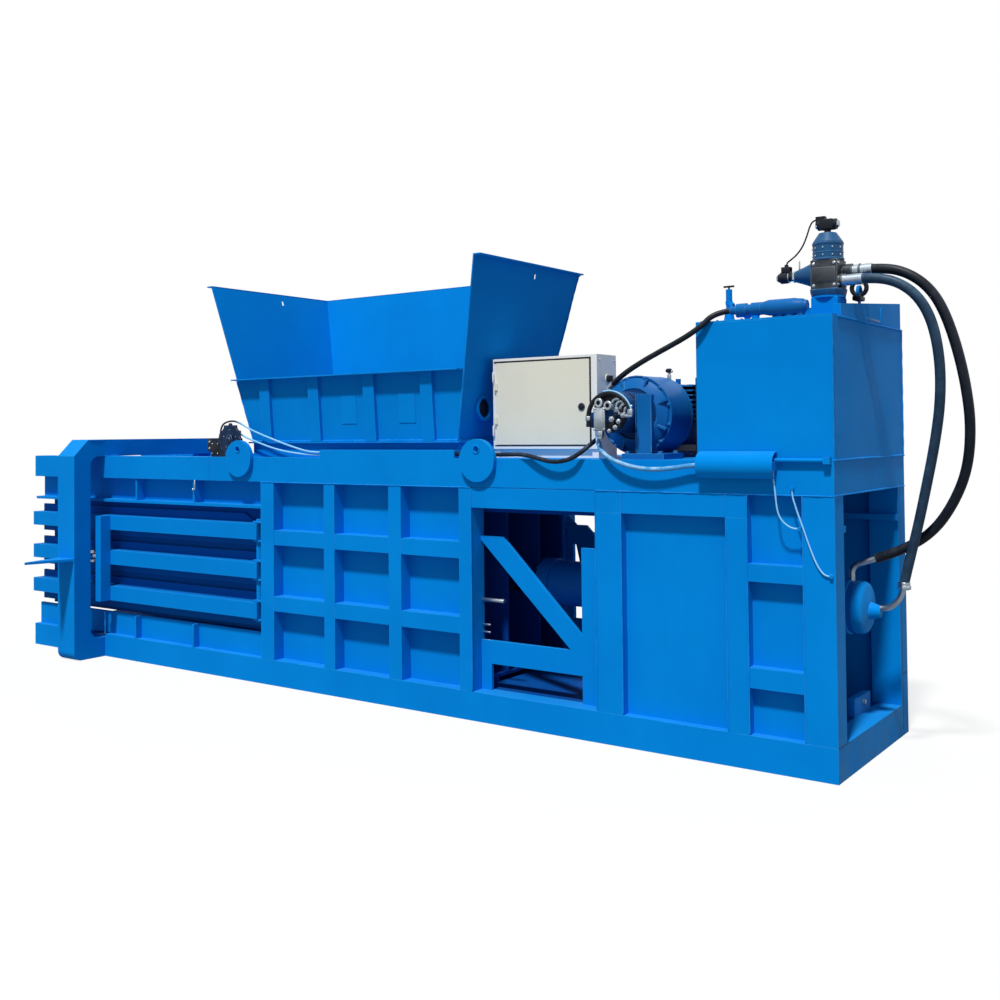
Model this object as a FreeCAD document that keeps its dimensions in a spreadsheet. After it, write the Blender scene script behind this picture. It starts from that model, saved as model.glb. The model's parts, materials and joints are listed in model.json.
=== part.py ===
import FreeCAD, Part
import math
import os
import Sketcher
from collections import namedtuple
from types import SimpleNamespace

# Horizontal recycling baler: a long steel skid carries a pressing chamber with a feed
# hopper, a slatted bale tunnel with a discharge portal, and a hydraulic power pack.
# Lengths are in millimetres.  +X points to the power-pack end, -Y to the operator's
# side and +Z up.  The floor is z = 0.

Vector = FreeCAD.Vector
document = FreeCAD.newDocument("RecyclingBaler")
sheet = document.addObject("Spreadsheet::Sheet", "Sizes")

# ---------------------------------------------------------------------------
# Driving sizes
# ---------------------------------------------------------------------------
SIZES = (
    # skid and long beams
    ("half_length", 3170), ("beam_inner", 430), ("beam_width", 120), ("base_height", 162),
    ("floor_thickness", 20), ("beam_top", 1465), ("beam_depth", 160), ("cross_beam_width", 120),
    ("cross_beam_gap", 1400), ("seam_width", 4), ("seam_depth", 4), ("beam_seam_x", 1120),
    # discharge portal
    ("portal_start", 2275), ("portal_thickness", 200), ("portal_half_width", 806),
    ("portal_leg", 134), ("portal_head", 122), ("portal_chamfer", 118), ("portal_foot_radius", 60),
    ("portal_inner_radius", 70), ("bracket_reach", 324), ("bracket_low", 716),
    ("bracket_thickness", 18), ("bracket_half_length", 95),
    # tunnel panels
    ("panel_thickness", 20), ("panel_recess", 80), ("tunnel_end", 615), ("upper_panel_low", 1130),
    ("ledge_height", 20), ("ledge_reach", 70), ("lower_panel_recess", 50), ("lower_panel_top", 320),
    ("stiffener_width", 16), ("stiffener_first_x", 1930), ("stiffener_second_x", 1300),
    ("roof_low", 1185), ("roof_thickness", 20), ("roof_rib_width", 50), ("roof_rib_pitch", 617),
    # pressing chamber side
    ("chamber_wall", 35), ("chamber_post_a", -615), ("chamber_post_a_width", 120),
    ("chamber_post_b", -47), ("chamber_post_b_width", 89), ("chamber_post_c", 484),
    ("chamber_post_c_width", 96), ("chamber_post_d", 1011), ("chamber_post_d_width", 88),
    ("chamber_rib_low", 476), ("chamber_rib_height", 94), ("chamber_rib_step", 424),
    ("rib_setback", 3),
    # cylinder bay side
    ("rail_low", 1190), ("rail_seam_z", 1302), ("bay_post_b_share", 0.60158), ("bay_post_b_width", 153),
    ("bay_post_c_share", 0.83155), ("bay_post_c_width", 109), ("corner_post_width", 152),
    ("bay_sheet_recess", 55), ("bay_sheet_thickness", 20), ("bay_rib_low", 386),
    ("bay_rib_height", 97), ("bay_rib_upper", 890), ("bay_rib_upper_height", 84),
    # window guard
    ("guard_recess", 90), ("guard_thickness", 20), ("guard_rail_low", 310),
    ("guard_rail_height", 130), ("guard_stub_width", 68), ("guard_post_share", 0.55678),
    ("guard_post_width", 85), ("guard_post_top", 990), ("brace_low_z", 1003),
    ("brace_top_z", 1025), ("brace_top_width", 152), ("brace_foot_x_share", 0.53438),
    # tension doors
    ("door_gap", 25), ("slat_reach", 15), ("slat_depth", 90), ("slat_height", 104),
    ("slat_top_low", 928), ("slat_middle_low", 676), ("slat_bottom_low", 415),
    ("backing_depth", 20), ("backing_top_low", 881), ("backing_top_high", 1088),
    ("backing_middle_low", 620), ("backing_middle_high", 836), ("backing_bottom_low", 350),
    ("backing_bottom_high", 573), ("backing_notch", 54), ("tie_bar_x", 2250),
    ("tie_bar_width", 60), ("tie_bar_reach", 83), ("hinge_x", 660), ("hinge_y", 520),
    ("hinge_pin_radius", 20), ("ear_length", 75), ("ear_thickness", 12), ("ear_gap", 3),
    ("running_clearance", 0.05), ("liner_thickness", 6), ("liner_left_inset", 110),
    ("liner_right_inset", 60), ("liner_low_gap", 4),
    # tension cylinders
    ("tension_z", 728), ("tension_radius", 46), ("tension_back", 20), ("tension_rod_radius", 26),
    ("tension_retract", 35.5), ("tension_nose_gap", 51.5), ("pad_radius", 44), ("pad_depth", 22),
    ("pad_gap", 1.5),
    # press ram
    ("ram_front", 630), ("ram_length", 450), ("ram_half_width", 425), ("ram_low", 190),
    ("ram_top", 1180), ("ram_wall", 20), ("ram_face", 40), ("ram_web_half_gap", 160),
    ("ram_web", 15), ("shoe_clearance", 1), ("shoe_width", 120), ("shoe_inset", 40),
    ("cover_thickness", 20), ("cover_length", 1700), ("rail_clearance", 0.5),
    ("slide_rail_width", 30), ("slide_rail_depth", 30),
    # shear blade and feed opening
    ("feed_left", 640), ("feed_right", 930), ("feed_far", 310), ("feed_member", 140),
    ("blade_thickness", 28), ("blade_height", 100), ("blade_inset", 8),
    # main cylinder
    ("cylinder_z", 725), ("barrel_radius", 130), ("bore_radius", 100), ("barrel_left", 1330),
    ("barrel_right_back", 140), ("gland_length", 80), ("gland_radius", 142), ("cap_length", 65),
    ("rod_radius", 70), ("rod_foot_radius", 115), ("rod_foot_depth", 30), ("piston_x", 2630),
    ("piston_length", 80), ("cradle_first_x_share", 0.62776), ("cradle_second_x_share", 0.89905),
    ("cradle_thickness", 60), ("cradle_half_width", 210), ("port_radius", 30),
    # hopper
    ("riser_left", 760), ("riser_right", 955), ("riser_near", 475), ("riser_far", 330),
    ("riser_wall", 20), ("riser_height", 99), ("riser_flange", 24), ("riser_flange_height", 10),
    ("hopper_top", 2620), ("hopper_left_top", 1085), ("hopper_right_top", 1140),
    ("hopper_near_top", 555), ("hopper_far_top", 560), ("hopper_sheet", 8),
    ("hopper_rim", 42), ("hopper_lip_z", 1970), ("hopper_lip_reach", 62),
    ("hopper_rib_depth", 25), ("hopper_rib_width", 88), ("hopper_rib_first", -650),
    ("hopper_rib_second", -206), ("hopper_rib_third", 260), ("hopper_rib_fourth", 712),
    ("slot_width", 20), ("slot_height", 60), ("slot_y", 70), ("slot_drop", 80),
    ("port_ring_radius", 75), ("port_ring_bore", 58), ("port_ring_depth", 30),
    ("port_ring_y", -285), ("port_ring_z", 1754),
    # lifting lugs
    ("lug_radius", 120), ("lug_thickness", 30), ("lug_hole_radius", 18), ("lug_hole_rise", 62),
    ("lug_left_x", -800), ("lug_right_x", 1160), ("lug_centre_z", 1455),
    # tray
    ("tray_left", -80), ("tray_right", 980), ("tray_depth", 40), ("tray_height", 48),
    ("tray_wall", 3),
    # electric cabinet
    ("cabinet_left", 1080), ("cabinet_right_share", 0.56151), ("cabinet_near", 300), ("cabinet_far", 90),
    ("cabinet_low", 1515), ("cabinet_top", 2035), ("cabinet_wall", 10), ("cabinet_frame", 22),
    ("cabinet_lock_side", 46), ("door_clearance", 2), ("leaf_thickness", 6), ("leaf_proud", 3),
    ("leaf_knuckle_radius", 7), ("leaf_pin_radius", 3), ("leaf_knuckle_height", 40),
    ("knuckle_lug", 9), ("knuckle_low", 120), ("lock_x_share", 0.5306), ("lock_z", 1747),
    ("lock_radius", 15), ("lock_spindle_radius", 7), ("knob_y", 186), ("knob_z", 1901),
    ("knob_radius", 18), ("knob_depth", 34), ("knob_spindle_radius", 6), ("cabinet_foot", 40),
    ("plinth_inset", 12),
    ("gear_plate", 6), ("gear_inset", 30),
    # deck
    ("deck_thickness", 20), ("deck_member_width", 80), ("deck_second_x_share", 0.60568),
    ("deck_third_x_share", 0.76656),
    # motor and pump
    ("motor_x_share", 0.63722), ("motor_z", 1695), ("bell_radius", 211), ("bell_near", 300),
    ("bell_far", 50), ("bell_wall", 20), ("motor_radius", 180), ("motor_far", 400),
    ("motor_bore", 95), ("motor_wall", 25), ("fin_height", 14), ("fin_width", 8),
    ("shaft_radius", 24), ("rotor_gap", 3), ("coupling_radius", 70), ("coupling_length", 120),
    ("pump_radius", 108), ("pump_near", 560), ("pump_flange_radius", 130),
    ("pump_flange_depth", 30), ("pump_lift", 15), ("foot_height", 30), ("foot_half_width", 150),
    ("support_x_share", 0.67256), ("support_width", 80), ("support_near", 500),
    ("support_sheet", 10), ("support_top", 1800), ("support_toe", 20), ("shaft_end_gap", 5),
    ("fan_gap", 12),
    # oil cooler
    ("cooler_left_share", 0.70978), ("cooler_right_share", 0.77287), ("cooler_near", -50),
    ("cooler_far", 350),
    ("cooler_top", 1895),
    # oil tank
    ("tank_left_share", 0.78549), ("tank_half_width", 545), ("tank_height", 669), ("tank_wall", 8),
    ("cover_near", 420), ("cover_far", 530), ("cover_near_rise", 63), ("cover_far_rise", 143),
    ("cover_strip", 36), ("cover_deep_left_share", 0.86435), ("cover_deep_near", 40),
    ("eye_radius", 30), ("eye_wire", 7), ("eye_y", -90),
    # control valve stack
    ("valve_x_back", 115), ("valve_y", -250), ("valve_half", 65), ("pedestal_height", 101),
    ("valve_disc_height", 39), ("valve_disc_radius", 80), ("valve_block_height", 143),
    ("valve_head_radius", 72), ("valve_head_height", 90), ("valve_cap_height", 45),
    ("valve_cap_radius", 42), ("pilot_radius", 26), ("pilot_length", 90), ("pilot_cone", 95),
    ("pilot_z", 2362), ("pilot_stem", 16),
    # hose fittings
    ("hose_radius", 24), ("fitting_radius", 27), ("upper_fitting_y", -222),
    ("upper_fitting_z", 2372), ("lower_fitting_y", -275), ("lower_fitting_z", 2322),
    ("fitting_length", 70),
    # return line
    ("pipe_radius", 24), ("pipe_rise", 48), ("pipe_y", -510), ("pipe_left_share", 0.85016),
    ("pipe_right_share", 0.96057), ("pipe_nut_radius", 31), ("pipe_nut_length", 50),
    ("pipe_union_gap", 26), ("pipe_body_radius", 38), ("pipe_body_left_share", 0.90221),
    ("pipe_taper", 60), ("pump_hose_radius", 14),
    ("stem_x_share", 0.80757), ("stem_radius", 16), ("stem_height", 180), ("handle_half", 28),
    ("handle_radius", 5), ("stem_y", -300),
    # length counter
    ("counter_left", -1120), ("counter_right", -900), ("counter_low", 1465),
    ("counter_top", 1590), ("counter_near", -530), ("counter_far", -478), ("wheel_x", -915),
    ("wheel_y", -546), ("wheel_z", 1580), ("wheel_radius", 98), ("wheel_thickness", 14),
    ("wheel_tooth", 12), ("axle_radius", 10),
    # half-round cable guard
    ("cable_guard_left_share", 0.7918), ("cable_guard_right_back", 270), ("cable_guard_radius", 70),
    ("cable_guard_wall", 4), ("cable_guard_z", 1440), ("clip_x_back", 25), ("guard_rod_radius", 10),
    # cords
    ("thin_cord_radius", 6), ("conduit_radius", 12), ("bundle_radius", 12),
    ("wire_radius", 4), ("elbow_radius", 15), ("nut_radius", 31), ("nut_length", 30),
    ("upper_ferrule", 105), ("lower_ferrule", 90), ("clamp_length", 30), ("clamp_half", 22),
    ("clip_half", 8), ("clip_depth", 14), ("weld_gap", 0.2), ("wire_clip_a_x_back", 196),
    ("wire_clip_a_z", 1336),
    ("wire_clip_b_x_back", 164), ("wire_clip_b_z", 1150), ("wire_clip_c_x_back", 17),
    ("wire_clip_c_z", 940),
)


class Size:
    """A length held both as a number and as the sheet formula behind it."""

    def __init__(self, number, formula):
        self.number = float(number)
        self.formula = formula

    def __add__(self, other):
        other = as_size(other)
        return Size(self.number + other.number, "(%s + %s)" % (self.formula, other.formula))

    def __radd__(self, other):
        return as_size(other) + self

    def __sub__(self, other):
        other = as_size(other)
        return Size(self.number - other.number, "(%s - %s)" % (self.formula, other.formula))

    def __rsub__(self, other):
        return as_size(other) - self

    def __mul__(self, other):
        other = as_size(other)
        return Size(self.number * other.number, "(%s * %s)" % (self.formula, other.formula))

    def __rmul__(self, other):
        return as_size(other) * self

    def __truediv__(self, other):
        other = as_size(other)
        return Size(self.number / other.number, "(%s / %s)" % (self.formula, other.formula))

    def __neg__(self):
        return Size(-self.number, "(0 - %s)" % self.formula)


def as_size(value):
    """Wraps a plain number so that it can take part in a formula."""
    if isinstance(value, Size):
        return value
    return Size(value, "(0 - %s)" % abs(value) if value < 0 else "%s" % value)


def read_sheet():
    """Writes the driving sizes to the sheet and returns them by name."""
    named = {}
    for row, (name, value) in enumerate(SIZES, start=1):
        sheet.set("A%d" % row, name)
        sheet.set("B%d" % row, "%s" % value)
        sheet.setAlias("B%d" % row, name)
        named[name] = Size(value, "Sizes.%s" % name)
    document.recompute()
    return SimpleNamespace(**named)


s = read_sheet()
# places along the skid that keep their share of its half length
ALONG_SKID = (
    "bay_post_b", "bay_post_c", "guard_post", "brace_foot_x", "cradle_first_x",
    "cradle_second_x", "cabinet_right", "lock_x", "deck_second_x", "deck_third_x", "motor_x",
    "support_x", "cooler_left", "cooler_right", "tank_left", "cover_deep_left", "pipe_left",
    "pipe_body_left", "pipe_right", "stem_x", "cable_guard_left")
# places that keep their distance from the power-pack end
FROM_END = (
    "barrel_right", "valve_x", "cable_guard_right", "clip_x", "wire_clip_a_x", "wire_clip_b_x",
    "wire_clip_c_x")
for name in ALONG_SKID:
    setattr(s, name, s.half_length * getattr(s, name + "_share"))
for name in FROM_END:
    setattr(s, name, s.half_length - getattr(s, name + "_back"))
Circle = namedtuple("Circle", "u v radius")
ZERO = as_size(0)
AXES = "xyz"


# ---------------------------------------------------------------------------
# Building blocks
# ---------------------------------------------------------------------------
def bind(piece, name, value):
    """Ties one property of a piece to the sheet."""
    piece.setExpression(name, as_size(value).formula)


def locate(piece, corner, rotation=None):
    """Places a piece by sheet-bound coordinates."""
    numbers = [as_size(value).number for value in corner]
    piece.Placement = FreeCAD.Placement(Vector(*numbers), rotation or FreeCAD.Rotation())
    for axis, value in zip(AXES, corner):
        bind(piece, "Placement.Base." + axis, value)


def box(label, x_span, y_span, z_span):
    """A rectangular block between the given pairs of coordinates."""
    piece = document.addObject("Part::Box", label)
    for name, (low, high) in zip(("Length", "Width", "Height"), (x_span, y_span, z_span)):
        extent = as_size(high) - low
        setattr(piece, name, extent.number)
        bind(piece, name, extent)
    locate(piece, (x_span[0], y_span[0], z_span[0]))
    return piece


TURNS = {
    "x": FreeCAD.Rotation(Vector(0, 1, 0), 90),
    "y": FreeCAD.Rotation(Vector(1, 0, 0), -90),
    "z": FreeCAD.Rotation(),
}


def rod(label, axis, centre, radius, span):
    """A round bar along one axis; centre holds the other two coordinates in order."""
    piece = document.addObject("Part::Cylinder", label)
    length = as_size(span[1]) - span[0]
    piece.Radius = as_size(radius).number
    piece.Height = length.number
    bind(piece, "Radius", radius)
    bind(piece, "Height", length)
    corner = list(centre)
    corner.insert(AXES.index(axis), span[0])
    locate(piece, corner, TURNS[axis])
    return piece


def cone(label, axis, centre, low_radius, high_radius, span):
    """A tapered round bar along one axis."""
    piece = document.addObject("Part::Cone", label)
    length = as_size(span[1]) - span[0]
    for name, value in (("Radius1", low_radius), ("Radius2", high_radius), ("Height", length)):
        setattr(piece, name, as_size(value).number)
        bind(piece, name, value)
    corner = list(centre)
    corner.insert(AXES.index(axis), span[0])
    locate(piece, corner, TURNS[axis])
    return piece


def frustum(label, low_rectangle, high_rectangle, z_span):
    """A block whose rectangle (x0, x1, y0, y1) changes evenly from the low to the high end."""
    piece = document.addObject("Part::Wedge", label)
    names = (("Zmin", "Zmax", "Xmin", "Xmax"), ("Z2min", "Z2max", "X2min", "X2max"))
    for names_row, rectangle in zip(names, (low_rectangle, high_rectangle)):
        for name, value in zip(names_row, rectangle):
            setattr(piece, name, as_size(value).number)
            bind(piece, name, value)
    piece.Ymin = 0
    height = as_size(z_span[1]) - z_span[0]
    piece.Ymax = height.number
    bind(piece, "Ymax", height)
    locate(piece, (ZERO, ZERO, z_span[0]), FreeCAD.Rotation(Vector(1, 1, 1), 120))
    return piece


PLANES = {"xz": ("XZ_Plane", "y", True), "yz": ("YZ_Plane", "x", False),
          "xy": ("XY_Plane", "z", False)}


def corner_points(loop):
    """Turns corners (u, v) or (u, v, radius) into bound points and rounded stretches."""
    points = []
    count = len(loop)
    for index, corner in enumerate(loop):
        u, v = as_size(corner[0]), as_size(corner[1])
        if len(corner) == 2:
            points.append((u, v, None))
            continue
        radius = as_size(corner[2])
        before, after = loop[index - 1], loop[(index + 1) % count]
        steps = []
        for other in (before, after):
            along_u = as_size(other[0]).number - u.number
            along_v = as_size(other[1]).number - v.number
            if abs(along_u) > abs(along_v):
                steps.append((math.copysign(1, along_u), 0))
            else:
                steps.append((0, math.copysign(1, along_v)))
        first = (u + radius * steps[0][0], v + radius * steps[0][1])
        second = (u + radius * steps[1][0], v + radius * steps[1][1])
        centre = Vector(
            u.number + radius.number * (steps[0][0] + steps[1][0]),
            v.number + radius.number * (steps[0][1] + steps[1][1]), 0)
        points.append((first[0], first[1], (centre, radius)))
        points.append((second[0], second[1], None))
    return points


def fix_point(sketch, geometry, end, u, v):
    """Holds one sketch point at its sheet-bound coordinates."""
    for kind, value in (("DistanceX", u), ("DistanceY", v)):
        index = sketch.addConstraint(Sketcher.Constraint(kind, -1, 1, geometry, end, value.number))
        sketch.setExpression("Constraints[%d]" % index, value.formula)


def draw_loop(sketch, loop):
    """Draws one closed outline of straight runs and rounded corners."""
    points = corner_points(loop)
    ends = []
    for index, (u, v, bend) in enumerate(points):
        next_u, next_v = points[(index + 1) % len(points)][:2]
        start, finish = Vector(u.number, v.number, 0), Vector(next_u.number, next_v.number, 0)
        if bend is None:
            geometry = sketch.addGeometry(Part.LineSegment(start, finish), False)
            ends.append((geometry, 1, 2))
            continue
        centre, radius = bend
        from_angle = math.atan2(start.y - centre.y, start.x - centre.x)
        to_angle = math.atan2(finish.y - centre.y, finish.x - centre.x)
        counter_clockwise = (to_angle - from_angle) % (2 * math.pi) < math.pi
        angles = (from_angle, to_angle) if counter_clockwise else (to_angle, from_angle)
        circle = Part.Circle(centre, Vector(0, 0, 1), radius.number)
        geometry = sketch.addGeometry(Part.ArcOfCircle(circle, *angles), False)
        index = sketch.addConstraint(Sketcher.Constraint("Radius", geometry, radius.number))
        sketch.setExpression("Constraints[%d]" % index, radius.formula)
        ends.append((geometry, 1, 2) if counter_clockwise else (geometry, 2, 1))
    for index, (geometry, first, last) in enumerate(ends):
        following, following_first, following_last = ends[(index + 1) % len(ends)]
        sketch.addConstraint(
            Sketcher.Constraint("Coincident", geometry, last, following, following_first))
        fix_point(sketch, geometry, first, points[index][0], points[index][1])


def draw_circle(sketch, ring):
    """Draws one round outline."""
    u, v, radius = as_size(ring.u), as_size(ring.v), as_size(ring.radius)
    circle = Part.Circle(Vector(u.number, v.number, 0), Vector(0, 0, 1), radius.number)
    geometry = sketch.addGeometry(circle, False)
    index = sketch.addConstraint(Sketcher.Constraint("Radius", geometry, radius.number))
    sketch.setExpression("Constraints[%d]" % index, radius.formula)
    fix_point(sketch, geometry, 3, u, v)


def plate(label, plane, outline, span, openings=()):
    """A flat piece: an outline on one plane, given thickness between two coordinates."""
    role, normal, reverse = PLANES[plane]
    body = document.addObject("PartDesign::Body", label)
    sketch = body.newObject("Sketcher::SketchObject", label + "Outline")
    support = [feature for feature in body.Origin.OriginFeatures if feature.Role == role][0]
    sketch.AttachmentSupport = [(support, "")]
    sketch.MapMode = "FlatFace"
    for loop in (outline,) + tuple(openings):
        if isinstance(loop, Circle):
            draw_circle(sketch, loop)
        else:
            draw_loop(sketch, loop)
    pad = body.newObject("PartDesign::Pad", label + "Pad")
    pad.Profile = sketch
    depth = as_size(span[1]) - span[0]
    pad.Length = depth.number
    bind(pad, "Length", depth)
    pad.Reversed = reverse
    sketch.Visibility = False
    corner = [ZERO, ZERO, ZERO]
    corner[AXES.index(normal)] = span[0]
    locate(body, corner)
    return body


def join(label, pieces):
    """Welds several pieces into one."""
    union = document.addObject("Part::MultiFuse", label)
    union.Shapes = list(pieces)
    union.Refine = True
    return union


def cut(label, base, tools):
    """Takes one or more pieces away from another."""
    tools = list(tools)
    tool = tools[0] if len(tools) == 1 else join(label + "Tools", tools)
    result = document.addObject("Part::Cut", label)
    result.Base = base
    result.Tool = tool
    return result


def mirrored(label, piece):
    """The same piece on the far side of the long middle plane."""
    mirror = document.addObject("Part::Mirroring", label)
    mirror.Source = piece
    mirror.Normal = Vector(0, 1, 0)
    return mirror


def together(label, pieces):
    """Keeps several separate pieces in one object."""
    compound = document.addObject("Part::Compound", label)
    compound.Links = list(pieces)
    return compound


NODES = {}

# ---------------------------------------------------------------------------
# Levels and faces that several pieces share
# ---------------------------------------------------------------------------
left_end, right_end = -s.half_length, s.half_length
near_inner, far_inner = -s.beam_inner, s.beam_inner
near_outer = -(s.beam_inner + s.beam_width)
floor_low = s.base_height - s.floor_thickness
beam_low = s.beam_top - s.beam_depth
portal_left = -(s.portal_start + s.portal_thickness)
portal_right = -s.portal_start
tunnel_right = -s.tunnel_end
chamber_right = s.chamber_post_d + s.chamber_post_d_width
wall_face = near_inner - s.chamber_wall
near_beam = (near_outer, near_inner)

# ---------------------------------------------------------------------------
# Skid
# ---------------------------------------------------------------------------
upper_panel_y = (near_outer + s.panel_recess, near_outer + s.panel_recess + s.panel_thickness)
lower_panel_y = (near_outer + s.lower_panel_recess,
                 near_outer + s.lower_panel_recess + s.panel_thickness)


def stiffener(label, x, y_span, z_span):
    """An upright strip welded across a tunnel panel."""
    return box(label, (x, x + s.stiffener_width), y_span, z_span)


base_beam = join("BaseBeamNear", (
    box("BaseBeam", (portal_right, right_end), near_beam, (ZERO, s.base_height)),
    box("LowerTunnelPanel", (left_end, tunnel_right), lower_panel_y,
        (s.base_height, s.lower_panel_top)),
    stiffener("LowerStiffenerA", -s.stiffener_first_x, (near_outer, lower_panel_y[0]),
              (s.base_height, s.lower_panel_top)),
    stiffener("LowerStiffenerB", -s.stiffener_second_x, (near_outer, lower_panel_y[0]),
              (s.base_height, s.lower_panel_top)),
))
NODES["base_beam_near"] = base_beam
NODES["base_beam_far"] = mirrored("BaseBeamFar", base_beam)


def cross_beam(label, left, top):
    """A beam between the two base beams."""
    return box(label, (left, left + s.cross_beam_width), (near_inner, far_inner), (ZERO, top))


NODES["base_cross_beams"] = together("BaseCrossBeams", (
    cross_beam("DischargeCrossBeam", left_end, floor_low),
    cross_beam("TunnelCrossBeam", -s.cross_beam_gap - s.cross_beam_width, floor_low),
    cross_beam("MiddleCrossBeam", -s.cross_beam_width / 2, floor_low),
    cross_beam("BayCrossBeam", s.cross_beam_gap, floor_low),
    cross_beam("RearCrossBeam", right_end - s.cross_beam_width, s.base_height),
))
floor_sheet = box(
    "FloorSheet", (left_end, right_end - s.cross_beam_width), (near_inner, far_inner),
    (floor_low, s.base_height))

# ---------------------------------------------------------------------------
# Discharge portal with its tail beams and side brackets
# ---------------------------------------------------------------------------
portal_inner = s.portal_half_width - s.portal_leg
portal_top = s.beam_top + s.portal_head
portal_chamfer_y = s.portal_half_width - s.portal_chamfer
portal_ring = plate(
    "PortalRing", "yz",
    ((-s.portal_half_width, ZERO, s.portal_foot_radius),
     (s.portal_half_width, ZERO, s.portal_foot_radius),
     (s.portal_half_width, portal_top - s.portal_chamfer),
     (portal_chamfer_y, portal_top),
     (-portal_chamfer_y, portal_top),
     (-s.portal_half_width, portal_top - s.portal_chamfer)),
    (portal_left, portal_right),
    openings=(((-portal_inner, floor_low, s.portal_inner_radius),
               (portal_inner, floor_low, s.portal_inner_radius),
               (portal_inner, s.beam_top, s.portal_inner_radius),
               (-portal_inner, s.beam_top, s.portal_inner_radius)),))
portal_middle = portal_left + s.portal_thickness / 2
bracket_tip = s.portal_half_width + s.bracket_reach
bracket_z = (s.bracket_low, s.bracket_low + s.bracket_thickness)
bracket = plate(
    "SideBracket", "xy",
    ((portal_middle - s.bracket_half_length, -s.portal_half_width),
     (portal_middle, -bracket_tip),
     (portal_middle + s.bracket_half_length, -s.portal_half_width)),
    bracket_z)
tail_beam = box("TailBeam", (left_end, portal_left), near_beam, (ZERO, s.base_height))
portal = join("PortalWelded", (
    portal_ring, bracket, mirrored("SideBracketFar", bracket),
    tail_beam, mirrored("TailBeamFar", tail_beam)))
tension_bore = rod("TensionBore", "y", (portal_middle, s.tension_z), s.tension_radius,
                   (-s.portal_half_width + s.tension_back, -portal_inner))
NODES["discharge_portal"] = cut(
    "DischargePortal", portal, (tension_bore, mirrored("TensionBoreFar", tension_bore)))

# ---------------------------------------------------------------------------
# Top beams with the upper tunnel panels
# ---------------------------------------------------------------------------
ledge_z = (s.upper_panel_low, s.upper_panel_low + s.ledge_height)
rail_right = s.bay_post_c + s.bay_post_c_width
top_beam_welded = join("TopBeamWelded", (
    box("TopBeam", (left_end, right_end), near_beam, (beam_low, s.beam_top)),
    box("BayRail", (chamber_right, rail_right), near_beam, (s.rail_low, beam_low)),
    box("UpperTunnelPanel", (left_end, tunnel_right), upper_panel_y,
        (s.upper_panel_low, beam_low)),
    box("TunnelLedge", (left_end, tunnel_right),
        (upper_panel_y[0] - s.ledge_reach, upper_panel_y[0]), ledge_z),
    stiffener("UpperStiffenerA", -s.stiffener_first_x,
              (upper_panel_y[0] - s.ledge_reach, upper_panel_y[0]), (ledge_z[1], beam_low)),
    stiffener("UpperStiffenerB", -s.stiffener_second_x,
              (upper_panel_y[0] - s.ledge_reach, upper_panel_y[0]), (ledge_z[1], beam_low)),
))
groove_y = (near_outer, near_outer + s.seam_depth)
top_beam = cut("TopBeamNear", top_beam_welded, (
    box("BeamSeam", (-s.beam_seam_x, -s.beam_seam_x + s.seam_width), groove_y,
        (beam_low, s.beam_top)),
    box("RailSeam", (chamber_right, rail_right), groove_y,
        (s.rail_seam_z, s.rail_seam_z + s.seam_width)),
))
NODES["top_beam_far"] = mirrored("TopBeamFar", top_beam)

# ---------------------------------------------------------------------------
# Tunnel roof with its cross ribs
# ---------------------------------------------------------------------------
roof_half_width = s.beam_inner + s.beam_width - s.panel_recess - s.panel_thickness
roof_right = -(s.feed_left + s.ear_thickness)
roof_pieces = [box("RoofPlate", (left_end, roof_right), (-roof_half_width, roof_half_width),
                   (s.roof_low, s.roof_low + s.roof_thickness))]
for rib_index in range(5):
    rib_left = left_end + s.roof_rib_pitch * rib_index
    roof_pieces.append(box("RoofRib%d" % rib_index, (rib_left, rib_left + s.roof_rib_width),
                           (-roof_half_width, roof_half_width),
                           (s.roof_low + s.roof_thickness, beam_low)))
NODES["tunnel_roof"] = join("TunnelRoof", roof_pieces)
NODES["shear_blade"] = box(
    "ShearBlade", (roof_right, roof_right + s.blade_thickness),
    (near_inner + s.blade_inset, far_inner - s.blade_inset),
    (s.roof_low, s.roof_low + s.blade_height))

# ---------------------------------------------------------------------------
# Pressing chamber sides, with the fixed ears of the door hinges
# ---------------------------------------------------------------------------
chamber_z = (s.base_height, beam_low)
chamber_posts = (
    (s.chamber_post_a, s.chamber_post_a_width), (s.chamber_post_b, s.chamber_post_b_width),
    (s.chamber_post_c, s.chamber_post_c_width), (s.chamber_post_d, s.chamber_post_d_width))
chamber_pieces = [box("ChamberWall", (s.chamber_post_a, chamber_right), (wall_face, near_inner),
                      chamber_z)]
for post_index, (post_x, post_width) in enumerate(chamber_posts):
    chamber_pieces.append(box("ChamberPost%d" % post_index, (post_x, post_x + post_width),
                              (near_outer, wall_face), chamber_z))
for rib_index in range(2):
    rib_low = s.chamber_rib_low + s.chamber_rib_step * rib_index
    chamber_pieces.append(box("ChamberRib%d" % rib_index, (s.chamber_post_a, chamber_right),
                              (near_outer + s.rib_setback, wall_face),
                              (rib_low, rib_low + s.chamber_rib_height)))
slat_lows = (s.slat_bottom_low, s.slat_middle_low, s.slat_top_low)
ear_left = s.chamber_post_a - s.ear_length
slat_front = near_outer - s.slat_reach
ear_back = slat_front + s.slat_depth - s.ear_gap
for ear_index, slat_low in enumerate(slat_lows):
    for ear_low in (slat_low - s.ear_gap - s.ear_thickness, slat_low + s.slat_height + s.ear_gap):
        chamber_pieces.append(box(
            "HingeEar%d" % len(chamber_pieces), (ear_left, s.chamber_post_a),
            (near_outer, ear_back), (ear_low, ear_low + s.ear_thickness)))
pin_span = (s.slat_bottom_low - s.ear_gap - 2 * s.ear_thickness,
            s.slat_top_low + s.slat_height + s.ear_gap + 2 * s.ear_thickness)
pin_centre = (-s.hinge_x, -s.hinge_y)
chamber_pieces.append(rod("HingePin", "z", pin_centre, s.hinge_pin_radius, pin_span))
chamber_side = join("ChamberSideNear", chamber_pieces)
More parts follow.
